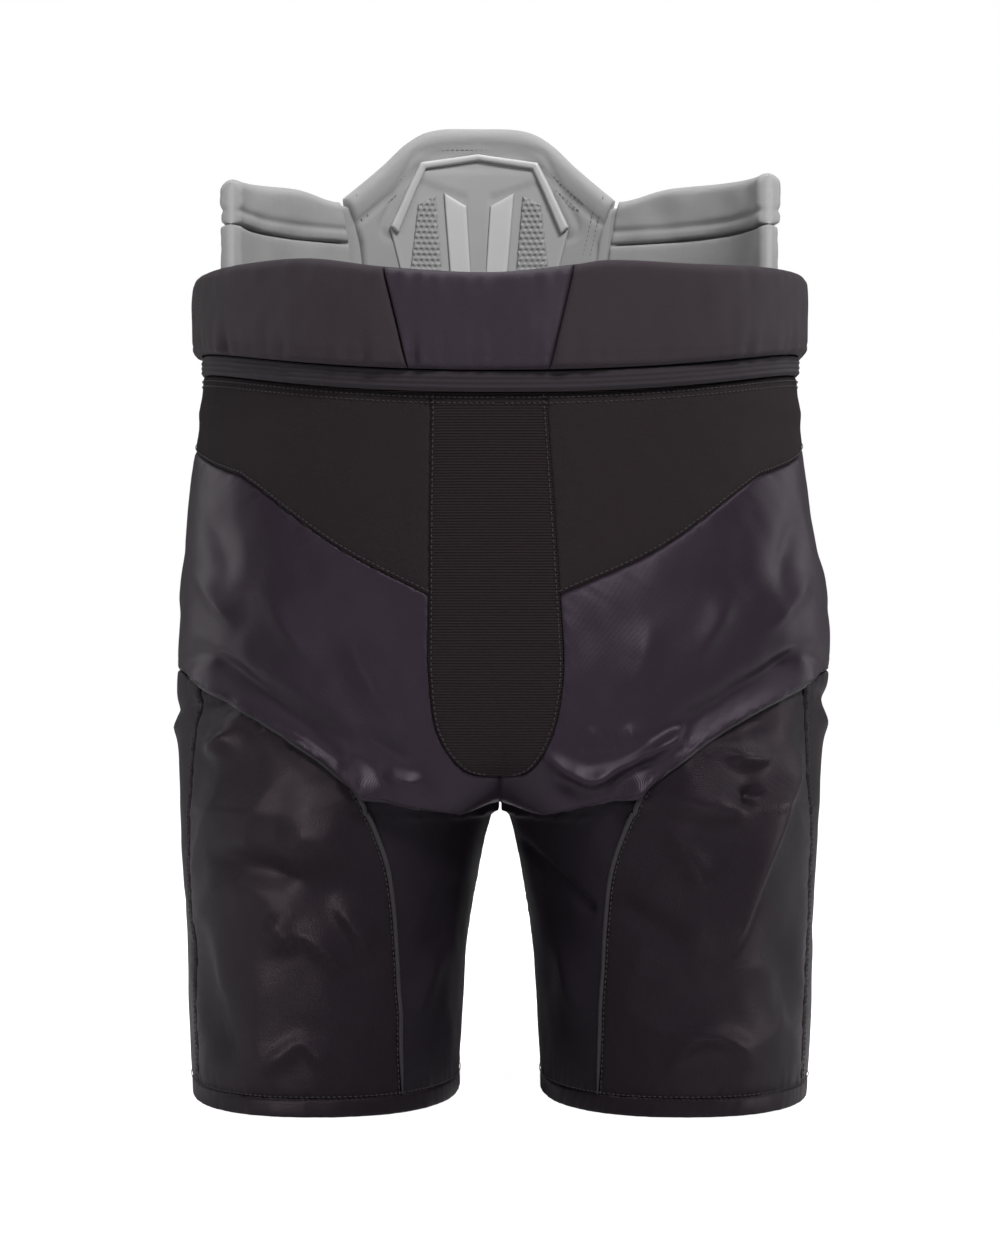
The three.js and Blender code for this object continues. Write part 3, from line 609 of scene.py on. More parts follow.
def refine(grid, surface, edges, distances, ring=False):
    """Sets rows and columns close to the grid's edges, at the given distances from them."""
    caps = np.linspace(0.14, 0.66, len(distances)) if len(distances) > 1 else [0.2]

    def near_first(g):
        step = np.linalg.norm(surface(g[1][:, 0], g[1][:, 1]) - surface(g[0][:, 0], g[0][:, 1]), axis=-1)
        step = np.maximum(step, 1e-7)
        rows = [g[0] + (g[1] - g[0]) * np.minimum(d / step, cap)[:, None] for d, cap in zip(distances, caps)]
        return np.concatenate([np.stack(rows), g[1:]])

    if "top" in edges:
        grid = near_first(grid)
    if "bottom" in edges:
        grid = near_first(grid[::-1])[::-1]
    grid = grid.transpose(1, 0, 2)
    if "start" in edges and not ring:
        grid = near_first(grid)
    if "end" in edges and not ring:
        grid = near_first(grid[::-1])[::-1]
    return grid.transpose(1, 0, 2)


def run_lengths(places):
    """Lengths along the rows' and columns' directions: from the top, the bottom, the start and the end."""
    down = np.cumsum(np.linalg.norm(np.diff(places, axis=0, prepend=places[:1]), axis=-1), axis=0)
    along = np.cumsum(np.linalg.norm(np.diff(places, axis=1, prepend=places[:, :1]), axis=-1), axis=1)
    return {"top": down, "bottom": down[-1:] - down, "start": along, "end": along[:, -1:] - along}


def two_layers(name, outer, inner, base, ring, materials, attributes=None):
    """Joins an outer and an inner layer of the same grid into one closed body."""
    rows, columns = outer.shape[:2]
    count = rows * columns
    index = np.arange(count).reshape(rows, columns)
    wrap = np.concatenate([index, index[:, :1]], 1) if ring else index
    a, b, c, d = wrap[:-1, :-1], wrap[:-1, 1:], wrap[1:, 1:], wrap[1:, :-1]
    shell = np.stack([a, b, c, d], -1).reshape(-1, 4)
    points = outer.reshape(-1, 3)
    q = points[shell]
    face_normals = np.cross(q[:, 2] - q[:, 0], q[:, 3] - q[:, 1])
    outward = (outer - inner).reshape(-1, 3)[shell[:, 0]]
    turned = (face_normals * outward).sum() < 0
    if turned:
        shell = shell[:, ::-1]
    faces = [shell, shell[:, ::-1] + count]
    rims = [(wrap[0, :-1], wrap[0, 1:]), (wrap[-1, 1:], wrap[-1, :-1])]
    if not ring:
        rims += [(wrap[1:, 0], wrap[:-1, 0]), (wrap[:-1, -1], wrap[1:, -1])]
    for p, q in rims:
        quad = np.stack([p, p + count, q + count, q], -1)
        faces.append(quad[:, ::-1] if turned else quad)
    faces = np.concatenate(faces)
    lengths = run_lengths(base)
    u = lengths["start"].reshape(-1)
    v = base[..., 2].reshape(-1)
    both = np.stack([np.concatenate([u, u]), np.concatenate([v, v])], -1)
    uv = both[faces]
    if ring:
        step = float(np.median(np.diff(lengths["start"], axis=1)))
        whole = lengths["start"][:, -1].max() + step
        crossing = np.ptp(uv[..., 0], axis=1) > whole / 2
        low = uv[..., 0] < whole / 2
        uv[..., 0] = np.where(crossing[:, None] & low, uv[..., 0] + whole, uv[..., 0])
    doubled = {key: np.concatenate([values.reshape(-1)] * 2) for key, values in (attributes or {}).items()}
    return make_object(name, np.concatenate([points, inner.reshape(-1, 3)]), faces, uv.reshape(-1, 2),
                       doubled, materials)


EDGES = ("top", "bottom", "start", "end")
CLOTH = 1.2 * MM


def seam_allowance(base, edges, ring, reach):
    """How far the inner layer's edge runs on under the seam, to meet its neighbour's."""
    out = np.zeros_like(base)
    steps = {"top": ((0,), (1,)), "bottom": ((-1,), (-2,)), "start": ((slice(None), 0), (slice(None), 1)),
             "end": ((slice(None), -1), (slice(None), -2))}
    for edge in edges:
        if ring and edge in ("start", "end"):
            continue
        last, before = steps[edge]
        step = base[last] - base[before]
        out[last] += unit(step) * reach
    return out


def puckers(lengths, edges, seed, height=0.3 * MM):
    """Small gathers that a sewn edge draws into the cloth beside it."""
    chance = np.random.default_rng(seed)
    total = 0
    for edge in edges:
        run = lengths["start" if edge in ("top", "bottom") else "top"]
        away = lengths[edge]
        wave = sum(np.sin(run * (2 * math.pi / (pitch * MM)) + chance.random() * 6.3 + away * 60 * slant)
                   for pitch, slant in ((7.5, 1), (11, -1), (17, 2)))
        total = total + wave * fading(away, 7 * MM)
    return total * height / 1.7


def panel(name, surface, grid, material, side=1, part="cloth", edges=EDGES, inset=0.0, thickness=CLOTH,
          ring=False, inward=False, relief=worn, dip=1.1 * MM, gather=0.3 * MM, puff=0.7 * MM,
          distances=(0.3, 0.8, 1.5), facing=1, tuck=0.0):
    """A piece of cloth or plate over a grid of surface points. Its sewn edges turn in, and its top edge may
    tuck under its neighbour."""
    grid = refine(grid, surface, edges, [d * MM for d in distances], ring)
    base = surface(grid[..., 0], grid[..., 1])
    normals = normals_of(surface, grid) * facing
    flip = np.array([side, 1, 1])
    base, normals = base * flip, normals * flip
    lengths = run_lengths(base)
    under = seam_allowance(base, edges, ring, (distances[0] + 0.12) * MM)
    if tuck:
        under[0] *= tuck / ((distances[0] + 0.12) * MM)
    away = np.min([lengths[e] for e in edges], axis=0) if edges else np.full(base.shape[:2], 1.0)
    if relief is None:
        height, drop = np.zeros(base.shape[:2]), np.zeros(base.shape[:2])
    else:
        height, drop = relief(base, normals, side, part)
    height = height - puff * fading(away, 5 * MM)
    if gather and edges:
        height = height + puckers(lengths, edges, sum(map(ord, name)), gather)
    turn_in = dip * fading(away, 0.55 * MM)
    way = -1.0 if inward else 1.0
    shift = np.stack([np.zeros_like(drop), np.zeros_like(drop), -drop], -1)
    middle = base - normals * inset + shift
    outer = middle + normals * (way * (height - turn_in))[..., None]
    inner = middle + under + normals * (way * (height - thickness - turn_in * 0.2))[..., None]
    if inward:
        outer, inner = outer - normals * thickness, inner - normals * thickness
    edge_near = fading(away, 1.6 * MM)
    if "start" not in edges and not ring:
        outer[:, 0, 0] = inner[:, 0, 0] = 0
    return two_layers(name, outer, inner, base, ring, [material], {"edge_near": edge_near})


def pad(name, surface, grid, material, thickness, side=1, inset=0.0, radii=None, crown=0.0, relief=None,
        ring=False, gather=0.0, reach=22 * MM):
    """A padded piece over a grid: round edges, crowned faces, and any relief on its two faces."""
    half = thickness / 2
    radii = dict(zip(EDGES, radii or (half,) * 4))
    turns = [1 - math.cos(math.radians(a)) for a in (0, 24, 46, 68)]
    for edge in EDGES:
        if ring and edge in ("start", "end"):
            continue
        grid = refine(grid, surface, (edge,), [max(radii[edge], 0.5 * MM) * t for t in turns], ring)
    base = surface(grid[..., 0], grid[..., 1])
    normals = normals_of(surface, grid)
    flip = np.array([side, 1, 1])
    base, normals = base * flip, normals * flip
    lengths = run_lengths(base)
    round_off = np.ones(base.shape[:2])
    swell = np.ones(base.shape[:2])
    for edge in EDGES:
        if ring and edge in ("start", "end"):
            continue
        away = np.clip(lengths[edge] / max(radii[edge], 0.5 * MM), 0, 1)
        round_off = round_off * np.sqrt(np.clip(1 - (1 - away) ** 2, 0, 1))
        swell = swell * (1 - (1 - np.clip(lengths[edge] / reach, 0, 1)) ** 2)
    lift_out = crown * swell
    if gather:
        used = EDGES[:2] if ring else EDGES
        lift_out = lift_out + puckers(lengths, used, sum(map(ord, name)), gather) * round_off
    out_face, in_face = (relief(base, normals, lengths) if relief else (0.0, 0.0))
    middle = base - normals * (inset + half)
    outer = middle + normals * (round_off * half + lift_out + out_face * round_off)[..., None]
    inner = middle - normals * (round_off * half + lift_out * 0.6 + in_face * round_off)[..., None]
    away = np.min([lengths[e] for e in (EDGES[:2] if ring else EDGES)], axis=0)
    return two_layers(name, outer, inner, base, ring, [material], {"edge_near": fading(away, 3 * MM)})


class Threads:
    """Stitches and cords along lines, gathered into one mesh."""

    def __init__(self):
        self.points, self.faces, self.count = [], [], 0

    def add(self, points, faces):
        self.points.append(points)
        self.faces.append(faces + self.count)
        self.count += len(points)

    def stitches(self, line, normals, pitch=3.3 * MM, length=2.3 * MM, width=0.75 * MM, height=0.45 * MM):
        """A run of stitches laid on the cloth: each a small rounded bar."""
        run = run_along(line)
        count = int(run[-1] / pitch)
        if count < 1:
            return
        middles = (np.arange(count) + 0.5) * run[-1] / count
        sample = lambda values, where: np.stack([np.interp(where, run, values[:, k]) for k in range(3)], -1)
        stations = np.array([-0.5, -0.3, 0.3, 0.5]) * length
        rises = np.array([-0.2, 0.8, 0.8, -0.2])
        widths = np.array([0.4, 1.0, 1.0, 0.4])
        rings = []
        for station, rise, wide in zip(stations, rises, widths):
            place = sample(line, middles + station)
            up = unit(sample(normals, middles + station))
            ahead = sample(line, middles + station + 0.3 * MM) - sample(line, middles + station - 0.3 * MM)
            across = np.cross(up, unit(ahead))
            half, foot, crest = across * (width * wide / 2), up * (0.3 * height), up * (height * rise)
            rings.append(np.stack([place + half - foot, place + half / 2 + crest,
                                   place - half / 2 + crest, place - half - foot], 1))
        points = np.stack(rings, 1).reshape(-1, 3)
        quads = [[low + a, low + b, low + 4 + b, low + 4 + a]
                 for low in (0, 4, 8) for a, b in ((0, 1), (1, 2), (2, 3), (3, 0))]
        quads += [[3, 2, 1, 0], [12, 13, 14, 15]]
        faces = (np.array(quads)[None] + np.arange(count)[:, None, None] * 16).reshape(-1, 4)
        self.add(points, faces)

    def cord(self, line, normals, wide, high, sides=8):
        """A raised round cord or bound edge along a line."""
        across = unit(np.cross(normals, unit(np.gradient(line, axis=0))))
        turns = np.linspace(0, 2 * math.pi, sides, endpoint=False)
        taper = np.minimum(1, np.minimum(np.arange(len(line)), np.arange(len(line))[::-1]) / 2 + 0.3)
        taper = taper[:, None, None]
        points = (line[:, None] + across[:, None] * (np.cos(turns) * wide)[None, :, None] * taper
                  + normals[:, None] * (np.sin(turns) * high)[None, :, None] * taper)
        rows = len(line)
        index = np.arange(rows * sides).reshape(rows, sides)
        after = np.roll(index, -1, axis=1)
        quads = np.stack([index[:-1], after[:-1], after[1:], index[1:]], -1).reshape(-1, 4)
        self.add(points.reshape(-1, 3), quads)

    def make(self, name, material):
        points = np.concatenate(self.points)
        faces = np.concatenate(self.faces)
        uv = np.stack([points[:, 0], points[:, 2]], -1)[faces].reshape(-1, 2)
        return make_object(name, points, faces, uv, {"edge_near": np.zeros(len(points))}, [material])


def on_cloth(surface, line, side, offset=0.0, raise_by=0.0, part="cloth", relief=worn):
    """Points and normals along a seam, beside it by offset, on the cloth as it is worn."""
    base = surface(line[:, 0], line[:, 1]) * [side, 1, 1]
    normals = normals_of(surface, line[None])[0] * [side, 1, 1]
    across = np.cross(normals, unit(np.gradient(base, axis=0)))
    places = base + across * offset
    if relief is None:
        return places + normals * raise_by, normals
    height, drop = relief(places, normals, side, part)
    places = places + normals * (height + raise_by)[:, None]
    places[:, 2] -= drop
    return places, normals


# ------------------------------------------------------------------ materials
def linear(text):
    values = [int(text[k:k + 2], 16) / 255 for k in (0, 2, 4)]
    return [v / 12.92 if v <= 0.04045 else ((v + 0.055) / 1.055) ** 2.4 for v in values]


class Nodes:
    """Short hand for a material's node tree."""

    def __init__(self, name, colour, roughness, settings):
        self.material = bpy.data.materials.new(name)
        self.material.use_nodes = True
        self.tree = self.material.node_tree
        self.shader = self.tree.nodes["Principled BSDF"]
        self.shader.inputs["Base Color"].default_value = (*colour, 1)
        self.shader.inputs["Roughness"].default_value = roughness
        for key, value in settings.items():
            self.shader.inputs[key].default_value = value

    def node(self, kind, **inputs):
        made = self.tree.nodes.new(kind)
        for key, value in inputs.items():
            self.plug(made, key, value)
        return made

    def plug(self, node, key, value):
        socket = node.inputs[key if isinstance(key, int) else key.replace("_", " ")]
        if isinstance(value, bpy.types.NodeSocket):
            self.tree.links.new(value, socket)
        else:
            socket.default_value = value

    def math(self, operation, *values):
        made = self.tree.nodes.new("ShaderNodeMath")
        made.operation = operation
        for k, value in enumerate(values):
            self.plug(made, k, value)
        return made.outputs[0]

    def add(self, *values):
        total = values[0]
        for value in values[1:]:
            total = self.math("ADD", total, value)
        return total

    def times(self, a, b):
        return self.math("MULTIPLY", a, b)

    def wave(self, value, pitch):
        return self.math("SINE", self.times(value, 2 * math.pi / pitch))

    def places(self):
        """The weave map's two directions, in metres."""
        source = self.tree.nodes.new("ShaderNodeUVMap")
        source.uv_map = "weave"
        split = self.node("ShaderNodeSeparateXYZ", Vector=source.outputs[0])
        return source.outputs[0], split.outputs[0], split.outputs[1]

    def edge_near(self):
        """How near a point is to its piece's edge."""
        source = self.tree.nodes.new("ShaderNodeAttribute")
        source.attribute_name = "edge_near"
        return source.outputs["Fac"]

    def noise(self, vector, scale, detail=3.0, stretch=None):
        if stretch:
            mapping = self.node("ShaderNodeMapping", Vector=vector)
            mapping.inputs["Scale"].default_value = (*stretch, 1)
            vector = mapping.outputs[0]
        made = self.node("ShaderNodeTexNoise", Vector=vector, Scale=scale, Detail=detail)
        return made.outputs[0]

    def shade(self, colour, strength):
        """The colour, made lighter or darker by a value round 1."""
        made = self.tree.nodes.new("ShaderNodeVectorMath")
        made.operation = "SCALE"
        made.inputs[0].default_value = colour
        self.tree.links.new(strength, made.inputs["Scale"])
        self.tree.links.new(made.outputs[0], self.shader.inputs["Base Color"])

    def bump(self, height, depth, strength=1.0):
        made = self.node("ShaderNodeBump", Height=height)
        made.inputs["Distance"].default_value = depth
        made.inputs["Strength"].default_value = strength
        self.tree.links.new(made.outputs[0], self.shader.inputs["Normal"])

    def rough(self, value):
        self.tree.links.new(value, self.shader.inputs["Roughness"])


def cloth_material(name, colour, roughness, weave, pitch, depth, sheen=0.1, specular=0.4, tone=0.12,
                   slub=0.3, edge=0.25, sheen_colour=(1, 1, 1)):
    """Woven or knitted cloth: its weave in the bump, uneven dye and shine, and paler worn edges."""
    n = Nodes(name, linear(colour), roughness, {
        "Sheen Weight": sheen, "Sheen Roughness": 0.45, "Sheen Tint": (*sheen_colour, 1),
        "Specular IOR Level": specular, "Specular Tint": (*sheen_colour, 1)})
    vector, u, v = n.places()
    threads = {
        "rib": lambda: n.wave(v, pitch),
        "twill": lambda: n.times(n.wave(n.add(u, v), pitch), 0.7),
        "plain": lambda: n.times(n.wave(u, pitch), n.wave(v, pitch)),
        "satin": lambda: n.times(n.wave(n.add(n.times(u, 0.35), v), pitch), 0.5),
        "mesh": lambda: n.math("MAXIMUM", n.times(n.wave(u, pitch), n.wave(v, pitch * 0.8)), 0.0),
    }[weave]()
    yarn = n.noise(vector, 900.0, 2.0, (1.0, 0.35))
    cross = n.noise(vector, 420.0, 3.0, (0.2, 1.0))
    blotch = n.noise(vector, 22.0, 4.0)
    tint = n.add(1.0 - tone * 0.5 - slub * 0.25, n.times(blotch, tone), n.times(yarn, slub * 0.5),
                 n.times(threads, slub * 0.25), n.times(n.edge_near(), edge))
    n.shade(linear(colour), tint)
    n.rough(n.add(n.times(blotch, 0.14), n.times(yarn, 0.12), roughness - 0.13))
    n.bump(n.add(threads, n.times(yarn, 0.9), n.times(cross, 0.7)), depth)
    return n.material


def plastic_material(name, colour, roughness, grain=0.00005, edge=0.5, coat=0.0, scuff=0.1):
    """Moulded plastic: a fine grain, slight cloudiness, and paler rubbed edges."""
    n = Nodes(name, linear(colour), roughness, {"Specular IOR Level": 0.5, "Coat Weight": coat})
    coordinates = n.tree.nodes.new("ShaderNodeTexCoord").outputs["Object"]
    fine = n.noise(coordinates, 1500.0, 2.0)
    cloud = n.noise(coordinates, 40.0, 3.0)
    n.shade(linear(colour), n.add(1.0 - scuff * 0.5, n.times(cloud, scuff),
                                  n.times(n.edge_near(), edge)))
    n.rough(n.add(n.times(cloud, 0.12), n.times(fine, 0.08), roughness - 0.1))
    n.bump(fine, grain)
    return n.material


def foam_material(name, colour):
    n = Nodes(name, linear(colour), 0.95, {"Specular IOR Level": 0.2})
    coordinates = n.tree.nodes.new("ShaderNodeTexCoord").outputs["Object"]
    cells = n.node("ShaderNodeTexVoronoi", Vector=coordinates, Scale=700.0).outputs["Distance"]
    cloud = n.noise(coordinates, 60.0)
    n.shade(linear(colour), n.add(0.75, n.times(cells, 0.3), n.times(cloud, 0.25)))
    n.bump(cells, 0.0003)
    return n.material


VIOLET = (0.96, 0.84, 1.0)      # the tints of the shine on the two dark cloths
WARM = (1.0, 0.82, 0.94)
STRETCH = cloth_material("stretch_cloth", "2a2426", 0.95, "plain", 1.2 * MM, 0.00022, sheen=0.02,
                         specular=0.12, tone=0.08, slub=0.5, edge=0.08)
KNIT = cloth_material("rib_knit", "272123", 0.95, "rib", 1.7 * MM, 0.0004, sheen=0.02, specular=0.1,
                      tone=0.06, slub=0.7, edge=0.08)
ROLL_KNIT = cloth_material("roll_knit", "2c262c", 0.8, "twill", 0.8 * MM, 0.0001, sheen=0.05, specular=0.3,
                           tone=0.1, slub=0.4, edge=0.1)
SATIN = cloth_material("satin_cloth", "251d26", 0.4, "satin", 0.9 * MM, 0.00007, sheen=0.02, specular=0.24,
                       tone=0.16, slub=0.16, edge=0.1, sheen_colour=VIOLET)
# The thigh panels' satin again, for the insides of the legs: its colour is darkened as painted shade for the
# shade that falls between the legs, and it is rougher so that it shines less.
SATIN_PAINTED_SHADE = cloth_material("inner_satin", "18131a", 0.58, "satin", 0.9 * MM, 0.00007, sheen=0.02,
                             specular=0.16, tone=0.16, slub=0.16, edge=0.1, sheen_colour=VIOLET)
TWILL = cloth_material("twill_cloth", "171218", 0.4, "twill", 1.0 * MM, 0.00014, sheen=0.0, specular=0.25,
                       tone=0.2, slub=0.35, edge=0.1, sheen_colour=WARM)
BELT_CLOTH = cloth_material("belt_cloth", "322a30", 0.66, "plain", 0.9 * MM, 0.00014, sheen=0.03,
                            specular=0.25, tone=0.12, slub=0.35, edge=0.1)
BELT_SATIN = cloth_material("belt_satin", "2b242c", 0.5, "satin", 0.9 * MM, 0.00007, sheen=0.03,
                            specular=0.27, tone=0.14, slub=0.16, edge=0.1, sheen_colour=VIOLET)
LINING = cloth_material("lining_mesh", "3c393b", 0.85, "mesh", 2.4 * MM, 0.0003, sheen=0.05, specular=0.2,
                        tone=0.15, slub=0.6)
GREY_CLOTH = cloth_material("grey_cloth", "a6a6a6", 0.8, "plain", 0.9 * MM, 0.0001, sheen=0.05,
                            specular=0.25, tone=0.06, slub=0.12, edge=0.04)
GREY_PLASTIC = plastic_material("grey_plastic", "a6a6a6", 0.42, edge=0.25)
DARK_PLASTIC = plastic_material("perforated_plastic", "939393", 0.5, edge=0.2)
PALE_PLASTIC = plastic_material("pale_plastic", "c4c4c4", 0.42, edge=0.08)
PALE_TRIM = plastic_material("pale_trim", "bababa", 0.28, edge=0.25)
GUARD_PLASTIC = plastic_material("guard_plastic", "1e1e20", 0.5)
FOAM = foam_material("closed_cell_foam", "555257")
THREAD, GREY_THREAD = (
    cloth_material(name, colour, rough, "twill", 0.5 * MM, 0.00005, 0.1, shine, 0.1, 0.3, 0)
    for name, colour, rough, shine in (("black_thread", "2b262c", 0.5, 0.4),
                                       ("grey_thread", "767676", 0.6, 0.3)))


# ------------------------------------------------------------------ placing pieces
PITCH = 2.5 * MM
TAKE_UP = 1.03          # the cloth that folds take up
LEAST_SHARE = 0.31      # of its rectangle that a panel covers


def bends(piece):
    """Bakes the piece's place into its mesh; the piece is attached to no body."""
    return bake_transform(piece)


def length_of(surface, line):
    return float(np.linalg.norm(np.diff(surface(line[:, 0], line[:, 1]), axis=0), axis=1).sum())


def patch(top, bottom, start, end, face=None, pitch=PITCH, surface=body):
    columns = np.linspace(0, 1, max(int(max(length_of(surface, top), length_of(surface, bottom)) / pitch), 3))
    rows = np.linspace(0, 1, max(int(max(length_of(surface, start), length_of(surface, end)) / pitch), 3))
    if face:
        return fill_torso(face, top, bottom, start, end, rows, columns)
    return fill(top, bottom, start, end, rows, columns)


def cut_size(piece):
    """The flat width, length and area that a sewn sheet was cut to, from its own mesh: half of its two
    faces' area, less what the folds take up, on the rectangle that its weave map spans."""
    mesh = piece.data
    area = sum(p.area for p in mesh.polygons) / 2 / TAKE_UP
    uv = np.zeros(len(mesh.loops) * 2, np.float32)
    mesh.uv_layers["weave"].data.foreach_get("uv", uv)
    spans = np.ptp(uv.reshape(-1, 2), axis=0)
    width, length = float(spans[0]), float(spans[1])
    if area > width * length:
        length = area / width * 1.01
    if area < LEAST_SHARE * width * length:
        length = area / 0.5 / width
    return (width, length), area


def sewn(piece, node):
    """A sheet of cloth that stands for a node of the frame."""
    flat, area = cut_size(piece)
    return stands_for(piece, node)


def stands_for(piece, node, rides=None):
    """A piece in place of a node of the frame, on the body that it rides."""
    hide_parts(node)
    if rides:
        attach(piece, rides)
    return piece


# ------------------------------------------------------------------ torso and legs
def hem_under(top, start, end):
    return np.stack([np.linspace(start, end, len(top)), np.full(len(top), HEM_LINE)], -1)


def cloth_panels(name, side):
    """The panels of one side, each between the seams above it, below it and at its two ends. A leg panel
    ends at the hem. The ones over the hip joint have no seam of their own in the middle."""
    lines = SEAMS[name]
    hip, leg, seat = f"hip_guard_{name}", f"thigh_guard_{name}", "tailbone_guard"
    faces = {hip: front, seat: back, leg: None}
    back_along = lambda *keys: join(*[lines[key][::-1] for key in keys])
    open_middle = ("top", "bottom", "end")
    for piece, node, cloth, under, top, foot, ends, settings in (
            ("yoke", "yoke", STRETCH, hip, lines["front_waist"], lines["yoke_border"],
             ("gusset_side", "waist_end"), {}),
            ("thigh", "thigh_panel", SATIN, hip, join(back_along("gusset_edge"), lines["yoke_border"]),
             back_along("crease", "leg_seam", "strip_top_front"), ("centre_front", "side_seam"),
             {"part": "thigh", "edges": open_middle}),
            ("seat", "seat_panel", SATIN, seat, join(back_along("seat_seam"), lines["seat_border"]),
             back_along("inner_fold", "back_fold", "strip_top_back"), ("centre_back", "side_seam"),
             {"edges": open_middle}),
            ("seat_yoke", "seat_yoke", TWILL, seat, lines["back_waist"], lines["seat_border"],
             ("seat_yoke_middle", "waist_end"), {}),
            ("leg_front", "leg_front", TWILL, leg, lines["leg_seam"], None,
             ("strip_front_down", "leg_seam_down"), {"part": "leg"}),
            ("side_strip", "side_strip", TWILL, leg,
             join(back_along("strip_top_front"), lines["strip_top_back"]), None,
             ("strip_front_down", "strip_back_down"), {}),
            ("inner_front", "inner_front", SATIN_PAINTED_SHADE, leg, lines["crease"], None,
             ("leg_seam_down", "inseam_front_down"), {"part": "inner"}),
            ("inner_back", "inner_back", SATIN_PAINTED_SHADE, leg, lines["inner_fold"], None,
             ("inner_back_down", "inseam_back_down"), {}),
            ("leg_back", "leg_back", TWILL, leg, lines["back_fold"], None,
             ("strip_back_down", "inner_back_down"), {})):
        start, end = (lines[key] for key in ends)
        if foot is None:
            foot = hem_under(top, start[-1][0], end[-1][0])
        made = panel(f"soft_{piece}_{name}", body, patch(top, foot, start, end, faces[under]), cloth, side,
                     **settings)
        sewn(made, f"{node}_{name}")
        if "yoke" in node:
            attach(made, "hips")
        else:
            bends(made)


def ring_grid(levels, count):
    angles = np.linspace(-180, 180, count, endpoint=False)
    return np.stack(np.meshgrid(angles, levels), -1)


def lining_panel(name, surface, grid, side, seed, shortest, longest):
    """A slack ring of lining: waves of the given lengths, in millimetres, run over it."""
    def slack(base, normals, side, part):
        return 1.1 * MM * waves(base, seed, 10, shortest * MM, longest * MM), np.zeros(base.shape[:2])

    return panel(name, surface, grid, LINING, side, inset=LINING_INSET, ring=True, edges=("top", "bottom"),
                 relief=slack, dip=0.2 * MM, gather=0.2 * MM, puff=0.0, thickness=1 * MM)


def hem_and_lining(name, side):
    hem = panel(f"soft_hem_{name}", body, ring_grid(np.linspace(HEM_BAND, 0.4 * MM, 7), 300), TWILL, side,
                ring=True, edges=("top", "bottom"), thickness=2.7 * MM, dip=0.6 * MM, gather=0.15 * MM,
                puff=0.3 * MM, distances=(0.15, 0.5, 1.0), tuck=3 * MM)
    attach(sewn(hem, f"hem_band_{name}"), f"leg_{name}")

    levels = np.linspace(INSEAM - 14 * MM, HEM_BAND + 4 * MM, 50)
    lining = lining_panel(f"soft_leg_lining_{name}", body, ring_grid(levels, 160), side, 5, 30, 90)
    bends(sewn(lining, f"leg_lining_{name}"))


def waist_lining():
    levels = np.linspace(WAIST - 8 * MM, INSEAM + 114 * MM, 40)
    lining = lining_panel("soft_waist_lining", body_ring, ring_grid(levels, 260), 1, 6, 40, 110)
    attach(sewn(lining, "waist_lining"), "hips")


def gusset_lines():
    """The two edges of the front gusset, as distances from the middle and heights, from the top down."""
    made = []
    for name, side in SIDES.items():
        edge = join(SEAMS[name]["gusset_side"], SEAMS[name]["gusset_edge"])
        edge = resample(np.stack([body(*edge.T)[:, 0] * side, edge[:, 1]], -1), 100)
        made.append(edge[:-1])
    return made


def front_gusset():
    left, right = gusset_lines()
    across = np.linspace(0, 1, 52)[None, :, None]
    grid = left[:, None] * (1 - across) + right[:, None] * across
    piece = panel("soft_gusset", centre_surface(front), grid, KNIT, facing=-1, gather=0.15 * MM)
    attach(sewn(piece, "front_gusset"), "hips")


def block(from_angle, to_angle, low, high, pitch=4 * MM):
    columns = np.linspace(from_angle, to_angle, max(int(abs(to_angle - from_angle) * 2.2 * MM / pitch), 8))
    rows = np.linspace(high, low, max(int((high - low) / pitch), 8))
    return np.stack(np.meshgrid(columns, rows), -1)


def guards():
    """Foams and shells under the cloth. The thigh's and the tailbone's shells are the frame's own."""
    plates = ["tailbone_guard"]
    for name, side in SIDES.items():
        thigh = block(34, 100, 45 * MM, INSEAM - 10 * MM)
        hip = block(-46, 34, INSEAM + 118 * MM, WAIST - 8 * MM)
        for place, grid in (("thigh", thigh), ("hip", hip)):
            foam = pad(f"soft_{place}_foam_{name}", body, grid, FOAM, FOAM_THICKNESS - 0.6 * MM, side,
                       FOAM_INSET + 0.3 * MM, (3 * MM,) * 4)
            stands_for(foam, f"{place}_foam_{name}")
            if place == "thigh":
                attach(foam, f"leg_{name}")
                plates.append(f"thigh_guard_{name}")
            else:
                bends(foam)
        shell = pad(f"moulded_hip_guard_{name}", body, hip, GUARD_PLASTIC, GUARD_THICKNESS, side, GUARD_INSET,
                    (1 * MM,) * 4)
        bends(stands_for(shell, f"hip_guard_{name}"))
    rows = np.linspace(WAIST - 14 * MM, INSEAM + 66 * MM, 40)
    grid = np.stack(np.meshgrid(np.linspace(-62 * MM, 62 * MM, 32), rows), -1)
    foam = pad("soft_tailbone_foam", centre_surface(back), grid, FOAM, FOAM_THICKNESS - 0.6 * MM, 1,
               FOAM_INSET + 0.3 * MM, (3 * MM,) * 4)
    stands_for(foam, "tailbone_foam", "hips")
    for node in plates:
        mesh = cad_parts[node].data
        mesh.materials.clear()
        mesh.materials.append(GUARD_PLASTIC)


# ------------------------------------------------------------------ belt and roll
belt_crest = profile([(-200, 521.5), (-160, 522.5), (-118, 522), (-70, 515), (-6, 511), (46, 516),
                      (66, 519), (122, 519), (200, 523)])


def crest_of(angle, x):
    """The belt's top edge: it dips at the front and is level at the back."""
    high = belt_crest(x)
    behind = smooth(0, 25, -np.where(angle > 180, 180 - angle, np.minimum(angle, 0)))
    return high * (1 - behind) + BELT_TOP * behind


